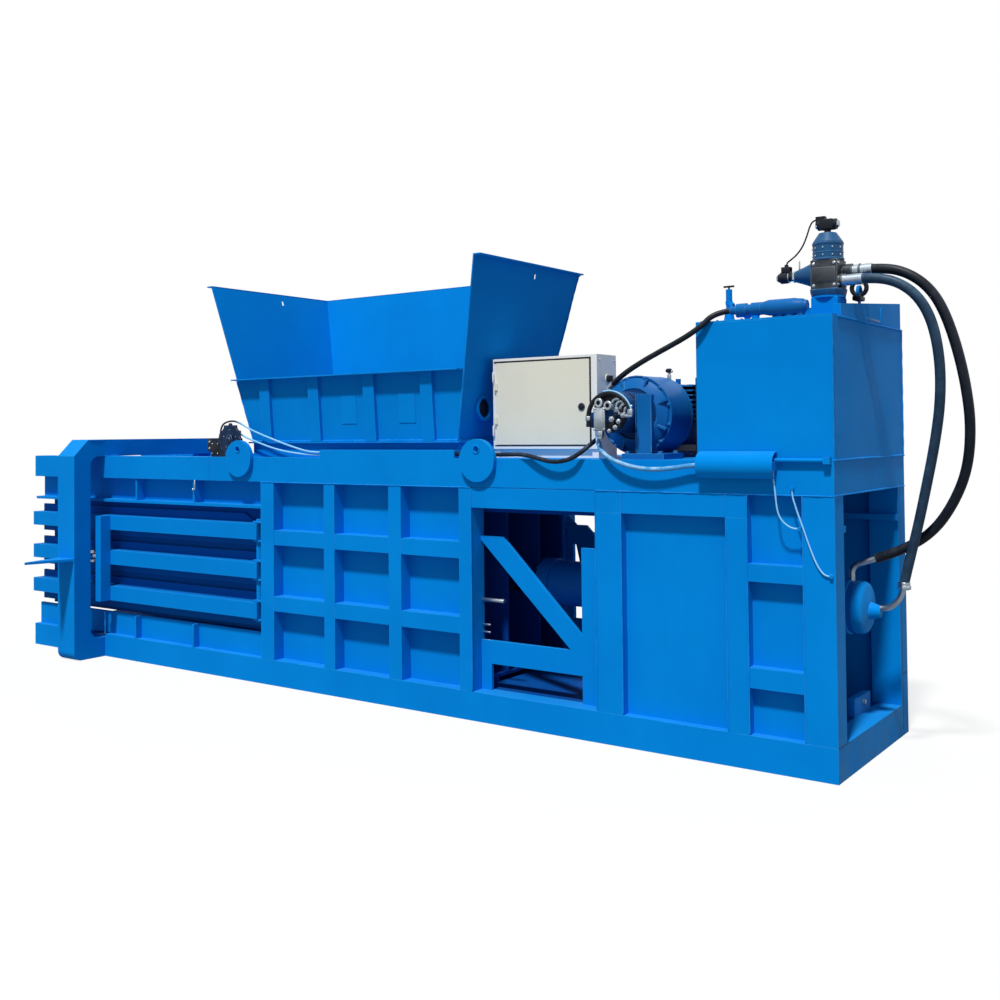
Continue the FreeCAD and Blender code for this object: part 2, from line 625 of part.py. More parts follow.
NODES["chamber_side_near"] = chamber_side
NODES["chamber_side_far"] = mirrored("ChamberSideFar", chamber_side)

# ---------------------------------------------------------------------------
# Tension doors: three slats on backing plates and a smooth liner, tied by an upright bar
# ---------------------------------------------------------------------------
door_right = -s.tunnel_end - s.door_gap
backing_y = (slat_front + s.slat_depth, slat_front + s.slat_depth + s.backing_depth)
door_pieces = []
for slat_index, slat_low in enumerate(slat_lows):
    door_pieces.append(box("Slat%d" % slat_index, (left_end, door_right),
                           (slat_front, backing_y[0]), (slat_low, slat_low + s.slat_height)))
backings = ((s.backing_bottom_low, s.backing_bottom_high),
            (s.backing_middle_low, s.backing_middle_high))
for backing_index, (low, high) in enumerate(backings):
    door_pieces.append(box("Backing%d" % backing_index, (left_end, door_right), backing_y,
                           (low, high)))
door_pieces.append(plate(
    "TopBacking", "xz",
    ((left_end, s.backing_top_low), (door_right, s.backing_top_low),
     (door_right, s.backing_top_high - s.backing_notch),
     (door_right - 2 * s.backing_notch, s.backing_top_high - s.backing_notch),
     (door_right - 4 * s.backing_notch, s.backing_top_high),
     (left_end, s.backing_top_high)), backing_y))
liner_y = (backing_y[1], backing_y[1] + s.liner_thickness)
door_pieces.append(box(
    "DoorLiner", (left_end + s.liner_left_inset, door_right - s.liner_right_inset), liner_y,
    (s.lower_panel_top + s.liner_low_gap, s.upper_panel_low - s.liner_low_gap)))
door_pieces.append(box(
    "TieBar", (-s.tie_bar_x, -s.tie_bar_x + s.tie_bar_width),
    (slat_front - s.tie_bar_reach, slat_front),
    (s.slat_bottom_low, s.slat_top_low + s.slat_height)))
tension_door = cut("TensionDoorNear", join("DoorWelded", door_pieces), (
    rod("DoorBore", "z", pin_centre, s.hinge_pin_radius + s.running_clearance, pin_span),))
NODES["tension_door_near"] = tension_door
NODES["tension_door_far"] = mirrored("TensionDoorFar", tension_door)

# ---------------------------------------------------------------------------
# Tension cylinders in the portal legs, pushing on the middle slats
# ---------------------------------------------------------------------------
tension_centre = (portal_middle, s.tension_z)
pad_tip = slat_front - s.pad_gap
pad_back = pad_tip - s.pad_depth
tension_body_end = pad_back - s.tension_nose_gap
tension_body = cut("TensionBody", rod(
    "TensionTube", "y", tension_centre, s.tension_radius,
    (-s.portal_half_width + s.tension_back, tension_body_end)), (
    rod("TensionRodBore", "y", tension_centre, s.tension_rod_radius + s.running_clearance,
        (-s.portal_half_width + 2 * s.tension_back, tension_body_end)),))
NODES["tension_cylinders"] = together(
    "TensionCylinders", (tension_body, mirrored("TensionBodyFar", tension_body)))
tension_pad = join("TensionPadNear", (
    rod("PadRod", "y", tension_centre, s.tension_rod_radius,
        (-s.portal_half_width + 2 * s.tension_back + s.tension_retract, pad_back)),
    rod("PadPlate", "y", tension_centre, s.pad_radius, (pad_back, pad_back + s.pad_depth / 2)),
    cone("PadDome", "y", tension_centre, s.pad_radius, s.pad_radius / 2,
         (pad_back + s.pad_depth / 2, pad_tip)),
))
NODES["tension_pad_near"] = tension_pad
NODES["tension_pad_far"] = mirrored("TensionPadFar", tension_pad)

# ---------------------------------------------------------------------------
# Guard of the service window
# ---------------------------------------------------------------------------
guard_y = (near_outer + s.guard_recess, near_outer + s.guard_recess + s.guard_thickness)
guard_post_right = s.guard_post + s.guard_post_width
guard_rail_z = (s.guard_rail_low, s.guard_rail_low + s.guard_rail_height)
window_guard = join("WindowGuardNear", (
    box("GuardRail", (chamber_right, guard_post_right), guard_y, guard_rail_z),
    box("GuardStub", (chamber_right, chamber_right + s.guard_stub_width), guard_y,
        (s.base_height, s.guard_rail_low)),
    box("GuardPost", (s.guard_post, guard_post_right), guard_y,
        (s.base_height, s.guard_post_top)),
    plate("GuardBrace", "xz",
          ((chamber_right, s.brace_low_z), (s.brace_foot_x, guard_rail_z[1]),
           (guard_post_right, guard_rail_z[1]),
           (chamber_right + s.brace_top_width, s.brace_top_z),
           (chamber_right, s.brace_top_z)), guard_y),
))
NODES["window_guards"] = together(
    "WindowGuards", (window_guard, mirrored("WindowGuardFar", window_guard)))

# ---------------------------------------------------------------------------
# Sides of the cylinder bay
# ---------------------------------------------------------------------------
bay_sheet_y = (near_outer + s.bay_sheet_recess,
               near_outer + s.bay_sheet_recess + s.bay_sheet_thickness)
corner_left = right_end - s.corner_post_width
ladder_left = s.bay_post_c + s.bay_post_c_width
sheet_left = s.bay_post_b + s.bay_post_b_width
bay_side = join("BaySideNear", (
    box("BayPostB", (s.bay_post_b, sheet_left), near_beam, (s.base_height, s.rail_low)),
    box("BayPostC", (s.bay_post_c, ladder_left), near_beam, (s.base_height, s.rail_low)),
    box("CornerPost", (corner_left, right_end), near_beam, (s.base_height, beam_low)),
    box("BaySheet", (sheet_left, ladder_left), bay_sheet_y, (s.base_height, s.rail_low)),
    box("LadderSheet", (ladder_left, corner_left), bay_sheet_y, (s.base_height, beam_low)),
    box("LadderRibLow", (ladder_left, corner_left), (near_outer, bay_sheet_y[0]),
        (s.bay_rib_low, s.bay_rib_low + s.bay_rib_height)),
    box("LadderRibHigh", (ladder_left, corner_left), (near_outer, bay_sheet_y[0]),
        (s.bay_rib_upper, s.bay_rib_upper + s.bay_rib_upper_height)),
))

# ---------------------------------------------------------------------------
# Deck between the top beams, and the frame around the feed opening
# ---------------------------------------------------------------------------
deck_left = s.cabinet_left
inner_width = (near_inner, far_inner)
deck_low = s.beam_top - s.deck_thickness
deck_pieces = [
    box("DeckPlate", (deck_left, right_end), inner_width, (deck_low, s.beam_top)),
    box("DeckEndBeam", (right_end - s.cross_beam_width, right_end), inner_width,
        (beam_low, deck_low)),
]
for member_index, member_left in enumerate((s.deck_second_x, s.deck_third_x)):
    deck_pieces.append(box("DeckMember%d" % member_index,
                           (member_left, member_left + s.deck_member_width), inner_width,
                           (beam_low, deck_low)))
feed_left = roof_right + s.blade_thickness
deck_pieces.extend((
    box("FeedLeftMember", (feed_left - s.feed_member, feed_left), inner_width,
        (beam_low, s.beam_top)),
    box("FeedFarMember", (feed_left, s.feed_right), (s.feed_far, far_inner),
        (s.rail_low, s.beam_top)),
    box("FeedRightMember", (s.feed_right, deck_left), inner_width, (s.rail_low, s.beam_top)),
))
NODES["deck_frame"] = join("DeckFrame", deck_pieces)

# ---------------------------------------------------------------------------
# Press ram with its shoes, rear cover plate and slide rails
# ---------------------------------------------------------------------------
ram_right = s.ram_front + s.ram_length
ram_y = (-s.ram_half_width, s.ram_half_width)
ram_cavity_x = (s.ram_front + s.ram_face, ram_right)
ram_cavity_z = (s.ram_low + s.ram_wall, s.ram_top - s.ram_wall)
web_edge = s.ram_web_half_gap + s.ram_web
ram_cells = [box("RamCellMiddle", ram_cavity_x, (-s.ram_web_half_gap, s.ram_web_half_gap),
                 ram_cavity_z)]
side_cell = box("RamCellSide", ram_cavity_x, (-s.ram_half_width + s.ram_wall, -web_edge),
                ram_cavity_z)
ram_cells.extend((side_cell, mirrored("RamCellSideFar", side_cell)))
shoe = box("RamShoe", (s.ram_front, ram_right),
           (-s.ram_half_width + s.shoe_inset, -s.ram_half_width + s.shoe_inset + s.shoe_width),
           (s.base_height + s.shoe_clearance, s.ram_low))
ram_block = box("RamBlock", (s.ram_front, ram_right), ram_y, (s.ram_low, s.ram_top))
NODES["ram_body"] = cut("RamBody", join("RamWelded", (
    ram_block, shoe, mirrored("RamShoeFar", shoe))), ram_cells)
cover_low = s.ram_top - s.cover_thickness
NODES["ram_cover_plate"] = box("RamCoverPlate", (ram_right, ram_right + s.cover_length), ram_y,
                               (cover_low, s.ram_top))
rail_top = cover_low - s.rail_clearance
slide_rail = box("SlideRail", (s.bay_post_b, right_end), (near_inner,
                 near_inner + s.slide_rail_width), (rail_top - s.slide_rail_depth, rail_top))
bay_side_welded = join("BaySideWelded", (bay_side, slide_rail))
wire_clips = [
    box("WireClip%d" % index, (x - s.clip_half, x + s.clip_half),
        (near_outer - s.clip_depth, near_outer), (z - s.clip_half, z + s.clip_half))
    for index, (x, z) in enumerate(((s.wire_clip_b_x, s.wire_clip_b_z),
                                    (s.wire_clip_c_x, s.wire_clip_c_z)))]
NODES["bay_side_near"] = join("BaySideClipped", [bay_side_welded] + wire_clips)
NODES["bay_side_far"] = mirrored("BaySideFar", bay_side_welded)

# ---------------------------------------------------------------------------
# Main cylinder
# ---------------------------------------------------------------------------
middle = (ZERO, s.cylinder_z)
cap_right = s.barrel_right + s.cap_length
gland_left = s.barrel_left - s.gland_length
NODES["cylinder_barrel"] = cut(
    "CylinderBarrel", rod("Barrel", "x", middle, s.barrel_radius, (s.barrel_left, cap_right)),
    (rod("BarrelBore", "x", middle, s.bore_radius, (s.barrel_left, s.barrel_right)),))
NODES["cylinder_gland"] = cut(
    "CylinderGland", rod("Gland", "x", middle, s.gland_radius, (gland_left, s.barrel_left)),
    (rod("GlandBore", "x", middle, s.rod_radius + s.running_clearance,
         (gland_left, s.barrel_left)),))
NODES["piston_rod"] = join("PistonRod", (
    rod("Rod", "x", middle, s.rod_radius, (ram_cavity_x[0], s.piston_x)),
    rod("RodFoot", "x", middle, s.rod_foot_radius,
        (ram_cavity_x[0], ram_cavity_x[0] + s.rod_foot_depth)),
    rod("Piston", "x", middle, s.bore_radius - s.running_clearance,
        (s.piston_x, s.piston_x + s.piston_length)),
))
cradles = []
for cradle_index, cradle_left in enumerate((s.cradle_first_x, s.cradle_second_x)):
    cradle_x = (cradle_left, cradle_left + s.cradle_thickness)
    cradles.append(cut("Cradle%d" % cradle_index, box(
        "CradlePlate%d" % cradle_index, cradle_x, (-s.cradle_half_width, s.cradle_half_width),
        (s.base_height, s.cylinder_z)),
        (rod("Saddle%d" % cradle_index, "x", middle, s.barrel_radius, cradle_x),)))
NODES["floor_plate"] = join("FloorPlate", [floor_sheet] + cradles)

# ---------------------------------------------------------------------------
# Hopper
# ---------------------------------------------------------------------------
riser_top = s.beam_top + s.riser_height
wall_top = s.hopper_top - s.hopper_sheet
NODES["hopper_base_frame"] = cut("HopperBaseFrame", join("RiserWelded", (
    box("Riser", (-s.riser_left, s.riser_right), (-s.riser_near, s.riser_far),
        (s.beam_top, riser_top)),
    box("RiserFlange", (-s.riser_left - s.riser_flange, s.riser_right + s.riser_flange),
        (-s.riser_near - s.riser_flange, s.riser_far + s.riser_flange),
        (riser_top - s.riser_flange_height, riser_top)),
)), (box("RiserInside", (-s.riser_left + s.riser_wall, s.riser_right - s.riser_wall),
         (-s.riser_near + s.riser_wall, s.riser_far - s.riser_wall), (s.beam_top, riser_top)),))


def hopper_at(z):
    """Outer faces of the hopper (left, right, near, far) at one height."""
    share = (as_size(z) - riser_top) / (wall_top - riser_top)
    return (-(s.riser_left + (s.hopper_left_top - s.riser_left) * share),
            s.riser_right + (s.hopper_right_top - s.riser_right) * share,
            -(s.riser_near + (s.hopper_near_top - s.riser_near) * share),
            s.riser_far + (s.hopper_far_top - s.riser_far) * share)


def end_wall(label, side, rim_name):
    """A full-height end wall with its outward rim and lifting slot."""
    rectangles = []
    for z in (riser_top, wall_top):
        left, right, near, far = hopper_at(z)
        x_span = (left, left + s.hopper_sheet) if side < 0 else (right - s.hopper_sheet, right)
        rectangles.append((x_span[0], x_span[1], near, far))
    sheet_piece = frustum(label + "Sheet", rectangles[0], rectangles[1], (riser_top, wall_top))
    top = rectangles[1]
    rim_x = (top[0] - s.hopper_rim, top[1]) if side < 0 else (top[0], top[1] + s.hopper_rim)
    rim = box(rim_name, rim_x, (top[2], top[3]), (wall_top, s.hopper_top))
    slot_z = s.hopper_top - s.slot_drop
    slot_x = hopper_at(slot_z)[0 if side < 0 else 1]
    slot = box(label + "Slot", (slot_x - 2 * s.hopper_sheet, slot_x + 2 * s.hopper_sheet),
               (s.slot_y, s.slot_y + s.slot_width), (slot_z, slot_z + s.slot_height / 2))
    return join(label + "Welded", (sheet_piece, rim)), slot


left_wall, left_slot = end_wall("HopperLeft", -1, "HopperLeftRim")
NODES["hopper_left_wall"] = cut("HopperLeftWall", left_wall, (left_slot,))
right_wall, right_slot = end_wall("HopperRight", 1, "HopperRightRim")
port_x = hopper_at(s.port_ring_z)[1]
port_axis = (s.port_ring_y, s.port_ring_z)
port_bore = rod("PortBore", "x", port_axis, s.port_ring_bore,
                (port_x - s.hopper_sheet / 2, port_x + 2 * s.port_ring_depth))


def across_wall(label, side, z_span):
    """A long wall between the two end walls."""
    rectangles = []
    for z in z_span:
        left, right, near, far = hopper_at(z)
        y_span = (near, near + s.hopper_sheet) if side < 0 else (far - s.hopper_sheet, far)
        rectangles.append((left + s.hopper_sheet, right - s.hopper_sheet, y_span[0], y_span[1]))
    return frustum(label, rectangles[0], rectangles[1], z_span), rectangles[1]


back_sheet, back_top = across_wall("HopperBackSheet", 1, (riser_top, wall_top))
NODES["hopper_back_wall"] = join("HopperBackWall", (
    back_sheet,
    box("HopperBackRim", (back_top[0], back_top[1]), (back_top[2], back_top[3] + s.hopper_rim),
        (wall_top, s.hopper_top))))
front_sheet, front_top = across_wall("HopperFrontSheet", -1, (riser_top, s.hopper_lip_z))
front_pieces = [front_sheet, box(
    "HopperLip", (front_top[0], front_top[1]),
    (front_top[2] - s.hopper_lip_reach, front_top[3]),
    (s.hopper_lip_z, s.hopper_lip_z + s.hopper_sheet))]
near_low, near_high = hopper_at(riser_top)[2], hopper_at(s.hopper_lip_z)[2]
rib_starts = (s.hopper_rib_first, s.hopper_rib_second, s.hopper_rib_third, s.hopper_rib_fourth)
for rib_index, rib_left in enumerate(rib_starts):
    rib_right = rib_left + s.hopper_rib_width
    front_pieces.append(frustum(
        "HopperRib%d" % rib_index,
        (rib_left, rib_right, near_low - s.hopper_rib_depth, near_low),
        (rib_left, rib_right, near_high - s.hopper_rib_depth, near_high),
        (riser_top, s.hopper_lip_z)))
NODES["hopper_front_wall"] = join("HopperFrontWall", front_pieces)
port_outer_x = port_x - s.hopper_sheet
port_ring = rod("PortRing", "x", port_axis, s.port_ring_radius,
                (port_outer_x, port_outer_x + s.port_ring_depth))
NODES["hopper_right_wall"] = cut("HopperRightWall", join("HopperRightPorted", (
    right_wall, port_ring)), (right_slot, port_bore))

# ---------------------------------------------------------------------------
# Lifting lugs, cable tray, length counter
# ---------------------------------------------------------------------------
lugs = []
for lug_index, lug_x in enumerate((s.lug_left_x, s.lug_right_x)):
    lug_y = (near_outer - s.lug_thickness, near_outer)
    lug = cut("Lug%d" % lug_index, rod("LugDisc%d" % lug_index, "y", (lug_x, s.lug_centre_z),
                                       s.lug_radius, lug_y),
              (rod("LugHole%d" % lug_index, "y", (lug_x, s.lug_centre_z + s.lug_hole_rise),
                   s.lug_hole_radius, lug_y),))
    lugs.extend((lug, mirrored("LugFar%d" % lug_index, lug)))
NODES["lifting_lugs"] = together("LiftingLugs", lugs)

tray_y = (near_outer, near_outer + s.tray_depth)
tray_z = (s.beam_top, s.beam_top + s.tray_height)
cable_tray = cut("CableTray", box("TrayBlock", (s.tray_left, s.tray_right), tray_y, tray_z), (
    box("TrayInside", (s.tray_left + s.tray_wall, s.tray_right - s.tray_wall),
        (tray_y[0] + s.tray_wall, tray_y[1] - s.tray_wall),
        (tray_z[0] + s.tray_wall, tray_z[1] - s.tray_wall)),))

counter_y = (s.counter_near, s.counter_far)
wheel_centre = (s.wheel_x, s.wheel_z)
NODES["length_counter"] = cut("LengthCounter", join("CounterWelded", (
    box("CounterBlock", (s.counter_left, s.counter_right), counter_y,
        (s.counter_low, s.counter_top)),
    rod("CounterHub", "y", wheel_centre, 3 * s.axle_radius, counter_y),
)), (rod("AxleBore", "y", wheel_centre, s.axle_radius + s.running_clearance, counter_y),))
wheel_y = (s.wheel_y, s.wheel_y + s.wheel_thickness)
wheel_pieces = [rod("WheelDisc", "y", wheel_centre, s.wheel_radius, wheel_y),
                rod("WheelAxle", "y", wheel_centre, s.axle_radius,
                    (wheel_y[0] - s.axle_radius, s.counter_far))]
TOOTH_COUNT = 12
for tooth_index in range(TOOTH_COUNT):
    angle = 2 * math.pi * tooth_index / TOOTH_COUNT
    reach = s.wheel_radius
    tooth_x = s.wheel_x + reach * math.cos(angle)
    tooth_z = s.wheel_z + reach * math.sin(angle)
    wheel_pieces.append(rod("WheelTooth%d" % tooth_index, "y", (tooth_x, tooth_z),
                            s.wheel_tooth, wheel_y))
NODES["star_wheel"] = join("StarWheel", wheel_pieces)

# ---------------------------------------------------------------------------
# Electric cabinet
# ---------------------------------------------------------------------------
case_y = (-s.cabinet_near, -s.cabinet_far)
opening_x = (s.cabinet_left + s.cabinet_frame, s.cabinet_right - s.cabinet_lock_side)
opening_z = (s.cabinet_low + s.cabinet_frame, s.cabinet_top - s.cabinet_frame)
leaf_front = -s.cabinet_near - s.leaf_proud
hinge_centre = (opening_x[0] - s.door_clearance, leaf_front - s.leaf_knuckle_radius + 1)
knuckles = (opening_z[0] + s.knuckle_low,
            opening_z[1] - s.knuckle_low - s.leaf_knuckle_height)
front_y = (case_y[0], case_y[0] + s.cabinet_wall)
case_pieces = [box("CaseBlock", (s.cabinet_left, s.cabinet_right), (front_y[1], case_y[1]),
                   (s.cabinet_low, s.cabinet_top))]
front_pieces = [cut("FrontRing", box(
    "FrontSheet", (s.cabinet_left, s.cabinet_right), front_y, (s.cabinet_low, s.cabinet_top)),
    (box("FrontOpening", opening_x, front_y, opening_z),))]
for foot_index, foot_left in enumerate((s.cabinet_left, s.cabinet_right - s.cabinet_foot)):
    case_pieces.append(box("CaseFoot%d" % foot_index, (foot_left, foot_left + s.cabinet_foot),
                           (front_y[1], case_y[1]), (s.beam_top, s.cabinet_low)))
case_pieces.append(box("CasePlinth", (s.cabinet_left + s.cabinet_foot, s.cabinet_right - s.cabinet_foot),
                       (front_y[1] + s.plinth_inset, front_y[1] + s.plinth_inset + s.cabinet_wall),
                       (s.beam_top, s.cabinet_low)))
for knuckle_index, low in enumerate(knuckles):
    pin_z = (low - s.knuckle_lug, low + s.leaf_knuckle_height + s.knuckle_lug)
    front_pieces.append(rod("LeafPin%d" % knuckle_index, "z", hinge_centre, s.leaf_pin_radius,
                            pin_z))
    for lug_index, lug_low in enumerate((pin_z[0], pin_z[1] - s.knuckle_lug + 1)):
        front_pieces.append(box(
            "PinLug%d%d" % (knuckle_index, lug_index),
            (hinge_centre[0] - s.leaf_pin_radius, hinge_centre[0] + s.leaf_pin_radius),
            (hinge_centre[1] - s.leaf_pin_radius, case_y[0]),
            (lug_low, lug_low + s.knuckle_lug - 1)))
cabinet_shell = cut("CabinetShell", join("CaseWelded", case_pieces), (
    box("CaseInside",
        (s.cabinet_left + s.cabinet_wall, s.cabinet_right - s.cabinet_wall),
        (front_y[1], case_y[1] - s.cabinet_wall),
        (s.cabinet_low + s.cabinet_wall, s.cabinet_top - s.cabinet_wall)),
    rod("KnobBore", "x", (-s.knob_y, s.knob_z), s.knob_spindle_radius + s.running_clearance,
        (s.cabinet_right - s.cabinet_wall, s.cabinet_right)),
))
NODES["cabinet_front"] = join("CabinetFront", front_pieces)
leaf_x = (opening_x[0] + s.door_clearance, opening_x[1] - s.door_clearance)
leaf_y = (leaf_front, leaf_front + s.leaf_thickness)
leaf_pieces = [box("LeafPanel", leaf_x, leaf_y,
                   (opening_z[0] + s.door_clearance, opening_z[1] - s.door_clearance))]
leaf_cuts = [rod("LockBore", "y", (s.lock_x, s.lock_z),
                 s.lock_spindle_radius + s.running_clearance, leaf_y)]
for knuckle_index, low in enumerate(knuckles):
    knuckle_z = (low, low + s.leaf_knuckle_height)
    leaf_pieces.append(rod("LeafKnuckle%d" % knuckle_index, "z", hinge_centre,
                           s.leaf_knuckle_radius, knuckle_z))
    leaf_pieces.append(box("LeafArm%d" % knuckle_index, (hinge_centre[0], leaf_x[0] + 10),
                           (leaf_front - s.leaf_thickness, leaf_front), knuckle_z))
    leaf_cuts.append(rod("KnuckleBore%d" % knuckle_index, "z", hinge_centre,
                         s.leaf_pin_radius + s.running_clearance, knuckle_z))
NODES["cabinet_door"] = cut("CabinetDoor", join("LeafWelded", leaf_pieces), leaf_cuts)
NODES["cabinet_lock"] = join("CabinetLock", (
    rod("LockKnob", "y", (s.lock_x, s.lock_z), s.lock_radius,
        (leaf_front - s.leaf_thickness, leaf_front)),
    rod("LockSpindle", "y", (s.lock_x, s.lock_z), s.lock_spindle_radius,
        (leaf_front, leaf_y[1] + 2 * s.leaf_thickness)),
    box("LockGrip", (s.lock_x - s.lock_radius, s.lock_x + s.lock_radius),
        (leaf_front - 2 * s.leaf_thickness, leaf_front - s.leaf_thickness),
        (s.lock_z - s.leaf_thickness / 2, s.lock_z + s.leaf_thickness / 2)),
    box("LockTongue", (s.lock_x - s.lock_spindle_radius, s.lock_x + 2 * s.lock_radius),
        (leaf_y[1] + s.leaf_thickness, leaf_y[1] + 2 * s.leaf_thickness),
        (s.lock_z - s.lock_spindle_radius, s.lock_z + s.lock_spindle_radius)),
))
knob_centre = (-s.knob_y, s.knob_z)
NODES["isolator_knob"] = join("IsolatorKnob", (
    rod("KnobDisc", "x", knob_centre, s.knob_radius,
        (s.cabinet_right + s.rail_clearance, s.cabinet_right + s.knob_depth / 2)),
    box("KnobGrip", (s.cabinet_right + s.knob_depth / 2, s.cabinet_right + s.knob_depth),
        (-s.knob_y - s.knob_spindle_radius, -s.knob_y + s.knob_spindle_radius),
        (s.knob_z - s.knob_radius, s.knob_z + s.knob_radius)),
    rod("KnobSpindle", "x", knob_centre, s.knob_spindle_radius,
        (s.cabinet_right - 3 * s.cabinet_wall, s.cabinet_right + s.rail_clearance)),
))
gear_y = (case_y[1] - s.cabinet_wall - s.gear_plate, case_y[1] - s.cabinet_wall)
gear_x = (s.cabinet_left + s.cabinet_wall + s.gear_inset,
          s.cabinet_right - s.cabinet_wall - s.gear_inset)
gear_pieces = [box("GearPlate", gear_x, gear_y,
                   (s.cabinet_low + 2 * s.gear_inset, s.cabinet_top - 2 * s.gear_inset))]
for row in range(3):
    row_low = s.cabinet_low + 3 * s.gear_inset + 4 * s.gear_inset * row
    for column in range(4):
        block_left = gear_x[0] + s.gear_inset + 5 * s.gear_inset * column
        gear_pieces.append(box("GearBlock%d%d" % (row, column),
                               (block_left, block_left + 3 * s.gear_inset),
                               (gear_y[0] - 2 * s.gear_inset, gear_y[0]),
                               (row_low, row_low + 3 * s.gear_inset)))
NODES["cabinet_case"] = join("CabinetCase", [cabinet_shell] + gear_pieces)

# ---------------------------------------------------------------------------
# Motor, bell housing, pump and shaft
# ---------------------------------------------------------------------------
motor_centre = (s.motor_x, s.motor_z)
bell_y = (-s.bell_near, -s.bell_far)
motor_y = (-s.bell_far, s.motor_far)
bell_shell = cut("BellShell", rod("Bell", "y", motor_centre, s.bell_radius,
                                               bell_y), (
    rod("BellInside", "y", motor_centre, s.bell_radius - s.bell_wall,
        (bell_y[0] + s.bell_wall, bell_y[1])),
    rod("BellShaftBore", "y", motor_centre, s.shaft_radius + s.running_clearance,
        (bell_y[0], bell_y[0] + s.bell_wall)),
))
motor_pieces = [
    rod("MotorBody", "y", motor_centre, s.motor_radius, motor_y),
    box("MotorFoot", (s.motor_x - s.foot_half_width, s.motor_x + s.foot_half_width), motor_y,
        (s.beam_top, s.beam_top + s.foot_height)),
    box("MotorFootWeb", (s.motor_x - s.foot_half_width / 2, s.motor_x + s.foot_half_width / 2),
        motor_y, (s.beam_top + s.foot_height, s.motor_z - s.motor_radius / 2)),
    rod("LiftingEye", "z", (s.motor_x, s.motor_far / 2), s.eye_radius / 2,
        (s.motor_z, s.motor_z + s.motor_radius + s.eye_radius)),
]
FIN_COUNT = 9
for fin_index in range(FIN_COUNT):
    fin_drop = s.motor_radius * 1.3 * (fin_index - 2) / FIN_COUNT
    motor_pieces.append(box(
        "Fin%d" % fin_index,
        (s.motor_x - s.motor_radius - s.fin_height, s.motor_x + s.motor_radius + s.fin_height),
        (motor_y[0] + 4 * s.fin_width, motor_y[1] - 4 * s.fin_width),
        (s.motor_z + fin_drop, s.motor_z + fin_drop + s.fin_width)))
NODES["motor"] = cut("Motor", join("MotorWelded", motor_pieces), (
    rod("MotorInside", "y", motor_centre, s.motor_bore,
        (motor_y[0] + s.motor_wall, motor_y[1] - s.motor_wall)),
    rod("MotorShaftBore", "y", motor_centre, s.shaft_radius + s.running_clearance,
        (motor_y[0], motor_y[0] + s.motor_wall)),
))
coupling_middle = (bell_y[0] + bell_y[1]) / 2
NODES["drive_shaft"] = join("DriveShaft", (
    rod("Shaft", "y", motor_centre, s.shaft_radius,
        (bell_y[0] + s.shaft_end_gap, motor_y[1] - s.motor_wall - s.rotor_gap)),
    rod("Coupling", "y", motor_centre, s.coupling_radius,
        (coupling_middle - s.coupling_length / 2, coupling_middle + s.coupling_length / 2)),
    rod("Rotor", "y", motor_centre, s.motor_bore - s.rotor_gap,
        (motor_y[0] + s.motor_wall + s.fan_gap, motor_y[1] - s.motor_wall - s.fan_gap)),
))
pump_z = s.motor_z + s.pump_lift
outlet_x = s.motor_x - s.pump_radius / 2
outlet_y = -s.pump_near + s.fitting_length
outlet_z = pump_z + s.pump_radius
terminal_x = (s.motor_x - 1.3 * s.pump_radius, s.motor_x - s.pump_radius / 2)
terminal_y = (-s.pump_near + s.pump_flange_depth / 2, -s.pump_near + s.pump_radius)
terminal_z = pump_z - 0.75 * s.pump_radius
NODES["pump"] = join("Pump", (
    rod("PumpFlange", "y", (s.motor_x, pump_z), s.pump_flange_radius,
        (bell_y[0] - s.pump_flange_depth, bell_y[0])),
    rod("PumpBody", "y", (s.motor_x, pump_z), s.pump_radius,
        (-s.pump_near, bell_y[0] - s.pump_flange_depth)),
    rod("PumpNose", "y", (s.motor_x, pump_z), s.pump_radius / 2,
        (-s.pump_near - s.pump_flange_depth / 2, -s.pump_near)),
    rod("PumpOutlet", "z", (outlet_x, outlet_y), s.fitting_radius, (pump_z, outlet_z)),
    box("PumpTerminal", terminal_x, terminal_y, (terminal_z, pump_z)),
))
support_z = (s.beam_top, s.support_top)
support_front = (-s.support_near, -s.support_near + s.support_sheet)
support_bracket = cut("SupportBracket", join("SupportWelded", (
    box("SupportFace", (s.support_x, s.support_x + s.support_width), support_front, support_z),
    box("SupportCheek", (s.support_x, s.support_x + s.support_sheet),
        (support_front[1], bell_y[0]), support_z),
    box("SupportFoot", (s.support_x - s.support_width, s.support_x + 2 * s.support_width),
        (support_front[0] - s.support_toe, bell_y[0]), (s.beam_top, s.beam_top + s.foot_height)),
)), (rod("FlangeRoom", "y", (s.motor_x, pump_z), s.pump_flange_radius + s.door_clearance,
         (bell_y[0] - s.pump_flange_depth - s.door_clearance, bell_y[0])),))
NODES["bell_housing"] = join("BellHousing", (
    bell_shell,
    support_bracket,
))
NODES["oil_cooler"] = box("OilCooler", (s.cooler_left, s.cooler_right),
                          (s.cooler_near, s.cooler_far), (s.beam_top, s.cooler_top))

# ---------------------------------------------------------------------------
# Oil tank and its raised cover
# ---------------------------------------------------------------------------
tank_top = s.beam_top + s.tank_height
tank_y = (-s.tank_half_width, s.tank_half_width)
NODES["oil_tank"] = cut("OilTank", box("TankBlock", (s.tank_left, right_end), tank_y,
                                       (s.beam_top, tank_top)), (
    box("TankInside", (s.tank_left + s.tank_wall, right_end - s.tank_wall),
        (tank_y[0] + s.tank_wall, tank_y[1] - s.tank_wall),
        (s.beam_top + s.tank_wall, tank_top)),))
lid_top = tank_top + s.tank_wall
s.pipe_z = lid_top + s.pipe_rise
lid_sheet = box("LidSheet", (s.tank_left, right_end), tank_y, (tank_top, lid_top))
cover_slope = (s.cover_far_rise - s.cover_near_rise) / (s.cover_near + s.cover_far)


def cover_height(y):
    """Height of the cover's sloping top above the tank at one place."""
    return tank_top + s.cover_near_rise + cover_slope * (as_size(y) + s.cover_near)


